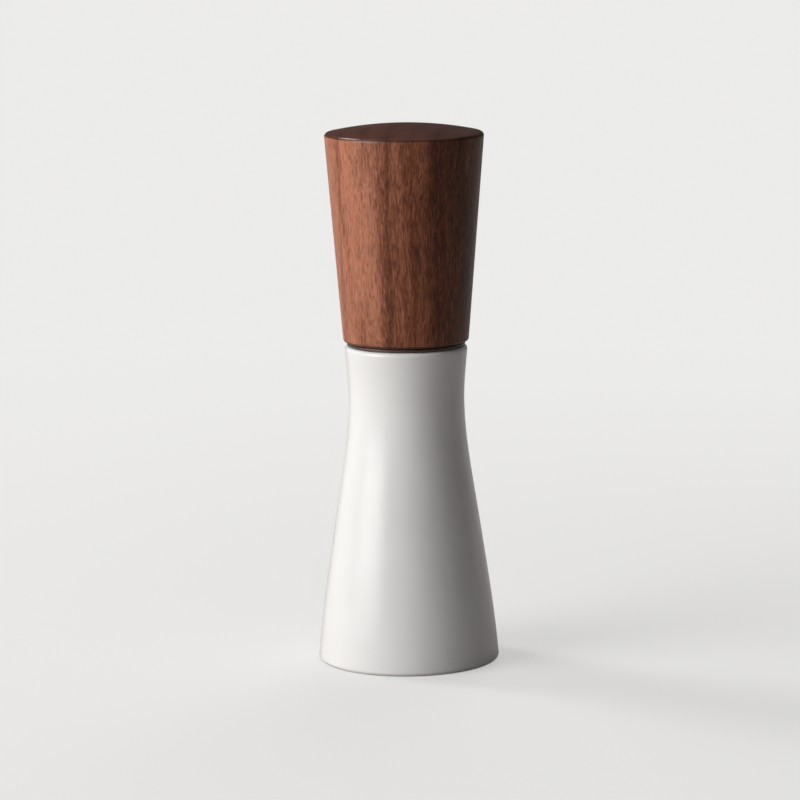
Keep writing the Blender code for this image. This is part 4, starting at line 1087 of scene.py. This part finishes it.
# %% Screws
def screw_set(name, node, body_name):
    """A ring of three cross-head screws, driven upwards."""
    low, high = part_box(f"{node}_1")
    head_radius, shank, seat = 2.2 * MM, 1.2 * MM, low.z + 1.4 * MM
    pitch, root = 0.8 * MM, 0.95 * MM
    outline = [(0, high.z), (0.35 * MM, high.z - 0.3 * MM)]
    z = high.z - 1.0 * MM
    while z - pitch > seat:
        outline += [(root, z), (shank, z - pitch * 0.4)]
        outline += [(shank, z - pitch * 0.5), (root, z - pitch * 0.9)]
        z -= pitch
    outline += [(root, z), (root, seat), (head_radius - 0.1 * MM, seat), (head_radius, seat - 0.1 * MM)]
    outline += [(head_radius, low.z + 0.75 * MM), (head_radius * 0.96, low.z + 0.45 * MM)]
    outline += [(head_radius * 0.86, low.z + 0.2 * MM), (head_radius * 0.66, low.z + 0.05 * MM)]
    outline += [(0, low.z)]
    screw = turned(name, [Vector(p) for p in outline], False, steel, SCREW_FACETS)
    # the cross recess is two slots
    arm, half, deep = 1.35 * MM, 0.35 * MM, low.z + 0.8 * MM
    slots = [block("slot", (-x, -y, low.z - MM), (x, y, deep)) for x, y in ((arm, half), (half, arm))]
    carve(screw, slots)
    screw.data.transform(Matrix.Translation((screw_circle(node), 0, 0)))
    return place(repeated(screw, 3, steel), body_name, "steel", *(f"{node}_{i}" for i in (1, 2, 3)))


screw_set("cover_screws", "cover_screw", "body")
screw_set("insert_screws", "insert_screw", "head")


# %% A tree for wire along a coil
COIL_POINTS, WIRE_FACETS = 260, 12
WIND_UP = 0.18  # how much of the rise the flat ends share in


def make_coil_tree():
    titles = ("Coil radius", "Wire radius", "Turns", "Foot", "Rise", "Flat share", "First angle")
    tree, given, result = tree_with_sockets("wire along a coil", dict.fromkeys(titles, "Float"))
    inputs = {"Start": (0, 0, 0), "End": (0, 0, 1)}
    line = add(tree, "GeometryNodeCurvePrimitiveLine", inputs).outputs[0]
    inputs = {"Curve": line, "Count": COIL_POINTS}
    fine = add(tree, "GeometryNodeResampleCurve", inputs).outputs[0]
    share = add(tree, "GeometryNodeSplineParameter").outputs["Factor"]
    turned_by = times(times(share, given["Turns"]), TURN)
    angle = plus(turned_by, given["First angle"])
    x = times(math_node("COSINE", angle), given["Coil radius"])
    y = times(math_node("SINE", angle), given["Coil radius"])
    # the first and last share of the wire climbs only a little
    flat = given["Flat share"]
    climb = spread(share, 0.0, 1.0, flat, math_node("SUBTRACT", 1.0, flat), "SMOOTHSTEP")
    blend = plus(times(climb, 1.0 - WIND_UP), times(share, WIND_UP))
    z = plus(times(blend, given["Rise"]), given["Foot"])
    where = add(tree, "ShaderNodeCombineXYZ", {0: x, 1: y, 2: z}).outputs[0]
    path = add(tree, "GeometryNodeSetPosition", {"Geometry": fine, "Position": where}).outputs[0]
    inputs = {"Resolution": WIRE_FACETS, "Radius": given["Wire radius"]}
    wire = add(tree, "GeometryNodeCurvePrimitiveCircle", inputs).outputs[0]
    inputs = {"Curve": path, "Profile Curve": wire, "Fill Caps": True}
    swept = add(tree, "GeometryNodeCurveToMesh", inputs).outputs[0]
    paint(tree, given, result, add(tree, "GeometryNodeRealizeInstances", {0: swept}).outputs[0])
    return tree


coil_tree = make_coil_tree()
print("the coil tree has", len(coil_tree.nodes), "nodes")


def coil(name, **values):
    empty = new_object(name, bpy.data.meshes.new(name))
    return with_tree(empty, coil_tree, finish=steel, **values)


# %% Spring and wire ring
low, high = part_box("burr_spring")
wire_radius = 0.45 * MM
spring = coil(
    "spring", coil_radius=high.y - wire_radius, wire_radius=wire_radius, turns=5.0,
    foot=low.z + wire_radius, rise=high.z - low.z - 2 * wire_radius, flat_share=0.14, first_angle=0.0,
)
place(spring, "shaft", "steel", "burr_spring")
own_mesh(spring)

low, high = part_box("socket_grip")
wire_radius = (high.z - low.z) / 2
opening = math.radians(70)
grip = coil(
    "wire_ring", coil_radius=high.y - wire_radius, wire_radius=wire_radius, turns=1 - opening / TURN,
    foot=(low.z + high.z) / 2, rise=0.0, flat_share=0.1, first_angle=opening / 2,
)
place(grip, "head", "steel", "socket_grip")

# %% [markdown]
# ## Floor, backdrop and lamps
#
# A pale floor runs back into the pale light of the world. A large soft box, the key, stands on the
# left, a little in front of the mill: it makes the broad bright side of the glaze, and its light
# falls away slowly round the mill because it is so large. A small one, the window, stands high behind
# on the left and draws the bright line along the rim. A third, the fill, opens the shadows from
# behind and isn't seen in reflections. Reflections see the pale backdrop overhead only, so the dark
# side of the mill stays dark.

# %% Floor
PALE = (0.80, 0.795, 0.785)
SHADE = (0.34, 0.320, 0.312)  # of the floor, in the light that it sends back up
FLOOR_REFLECTED = 0.06
FADE_NEAR, FADE_FAR = 0.08, 0.8  # metres from the mill
GLOW_NEAR, GLOW = 0.55, 1.05  # the backdrop's share of the floor at the mill, and its brightness


def background_share(tree, glossy):
    """1 for a ray that sees the background, a share for a reflection, and 0 for the light itself."""
    path = add(tree, "ShaderNodeLightPath").outputs
    seen = math_node("MAXIMUM", path["Is Camera Ray"], path["Is Transmission Ray"])
    return math_node("MAXIMUM", seen, times(path["Is Glossy Ray"], glossy))


floor_mesh = bpy.data.meshes.new("floor")
floor_mesh.from_pydata([(-9, -3, 0), (9, -3, 0), (9, 15, 0), (-9, 15, 0)], [], [(0, 1, 2, 3)])
pale, shader, where = material("pale_floor", PALE, 0.85)
tree = pale.node_tree
seen = background_share(tree, FLOOR_REFLECTED)
# the floor sends less light back up than it seems to, so that the mill keeps a dark side
fill(shader, {"Base Color": mix(seen, SHADE, PALE)})
# away from the mill the floor fades into the backdrop
away = add(tree, "ShaderNodeVectorMath", {0: where}, operation="LENGTH").outputs["Value"]
share = times(spread(away, GLOW_NEAR, 1.0, FADE_NEAR, FADE_FAR, "SMOOTHSTEP"), seen)
glow = add(tree, "ShaderNodeEmission", {"Color": (*PALE, 1.0), "Strength": GLOW}).outputs[0]
blend = add(tree, "ShaderNodeMixShader", {0: share, 1: shader.outputs[0], 2: glow})
fill(tree.nodes["Material Output"], {"Surface": blend.outputs[0]})
new_object("floor", floor_mesh, pale)
print("the floor fades into the backdrop from", FADE_NEAR, "to", FADE_FAR, "m away from the mill")

# %% World and lamps
ROOM_LIGHT, BACKDROP_LIGHT = 0.075, 0.84
AIM = Vector((0, 0, 0.1))

world = bpy.data.worlds.new("studio")
bpy.context.scene.world = world
world.use_nodes = True
tree = world.node_tree
# a reflection sees the pale backdrop overhead; level with the mill the room behind it is dim
direction = add(tree, "ShaderNodeTexCoord").outputs["Generated"]
height = add(tree, "ShaderNodeSeparateXYZ", {0: direction}).outputs[2]
overhead = spread(height, 0.0, 0.6, 0.50, 0.95, "SMOOTHSTEP")
strength = spread(background_share(tree, overhead), ROOM_LIGHT, BACKDROP_LIGHT)
fill(tree.nodes["Background"], {"Color": (1.0, 0.995, 0.985, 1.0), "Strength": strength})


def soft_box(name, place_at, size, power, colour, reflected=True):
    """A rectangular lamp aimed at the mill, brightest in the middle, as cloth over a bulb is."""
    light = bpy.data.lights.new(name, "AREA")
    light.shape = "RECTANGLE"
    light.size, light.size_y = size
    light.energy = power
    light.color = colour
    light.use_nodes = True
    tree = light.node_tree
    on_lamp = add(tree, "ShaderNodeNewGeometry").outputs["Parametric"]
    across, upwards, _ = add(tree, "ShaderNodeSeparateXYZ", {0: on_lamp}).outputs
    cloth = 1.0
    for part in (across, upwards):
        off_middle = math_node("ABSOLUTE", math_node("SUBTRACT", part, 0.5))
        cloth = times(cloth, spread(off_middle, 1.0, 0.0, 0.1, 0.5, "SMOOTHSTEP"))
    fill(tree.nodes["Emission"], {"Strength": cloth})
    lamp = bpy.data.objects.new(name, light)
    lamp.location = place_at
    lamp.rotation_euler = (AIM - Vector(place_at)).to_track_quat("-Z", "Y").to_euler()
    lamp.visible_glossy = reflected
    bpy.context.scene.collection.objects.link(lamp)


soft_box("key", (-1.6, -0.89, 0.85), (2.4, 2.4), 121.0, (1.0, 0.992, 0.978))
soft_box("window", (-1.1, 0.75, 1.5), (0.6, 0.6), 36.0, (1.0, 0.992, 0.985))
soft_box("fill", (0.5, 1.75, 1.1), (2.4, 2.0), 50.0, (1.0, 0.995, 0.985), reflected=False)
bpy.context.scene.view_settings.view_transform = "Standard"
print("three soft boxes, a pale world and a pale floor")
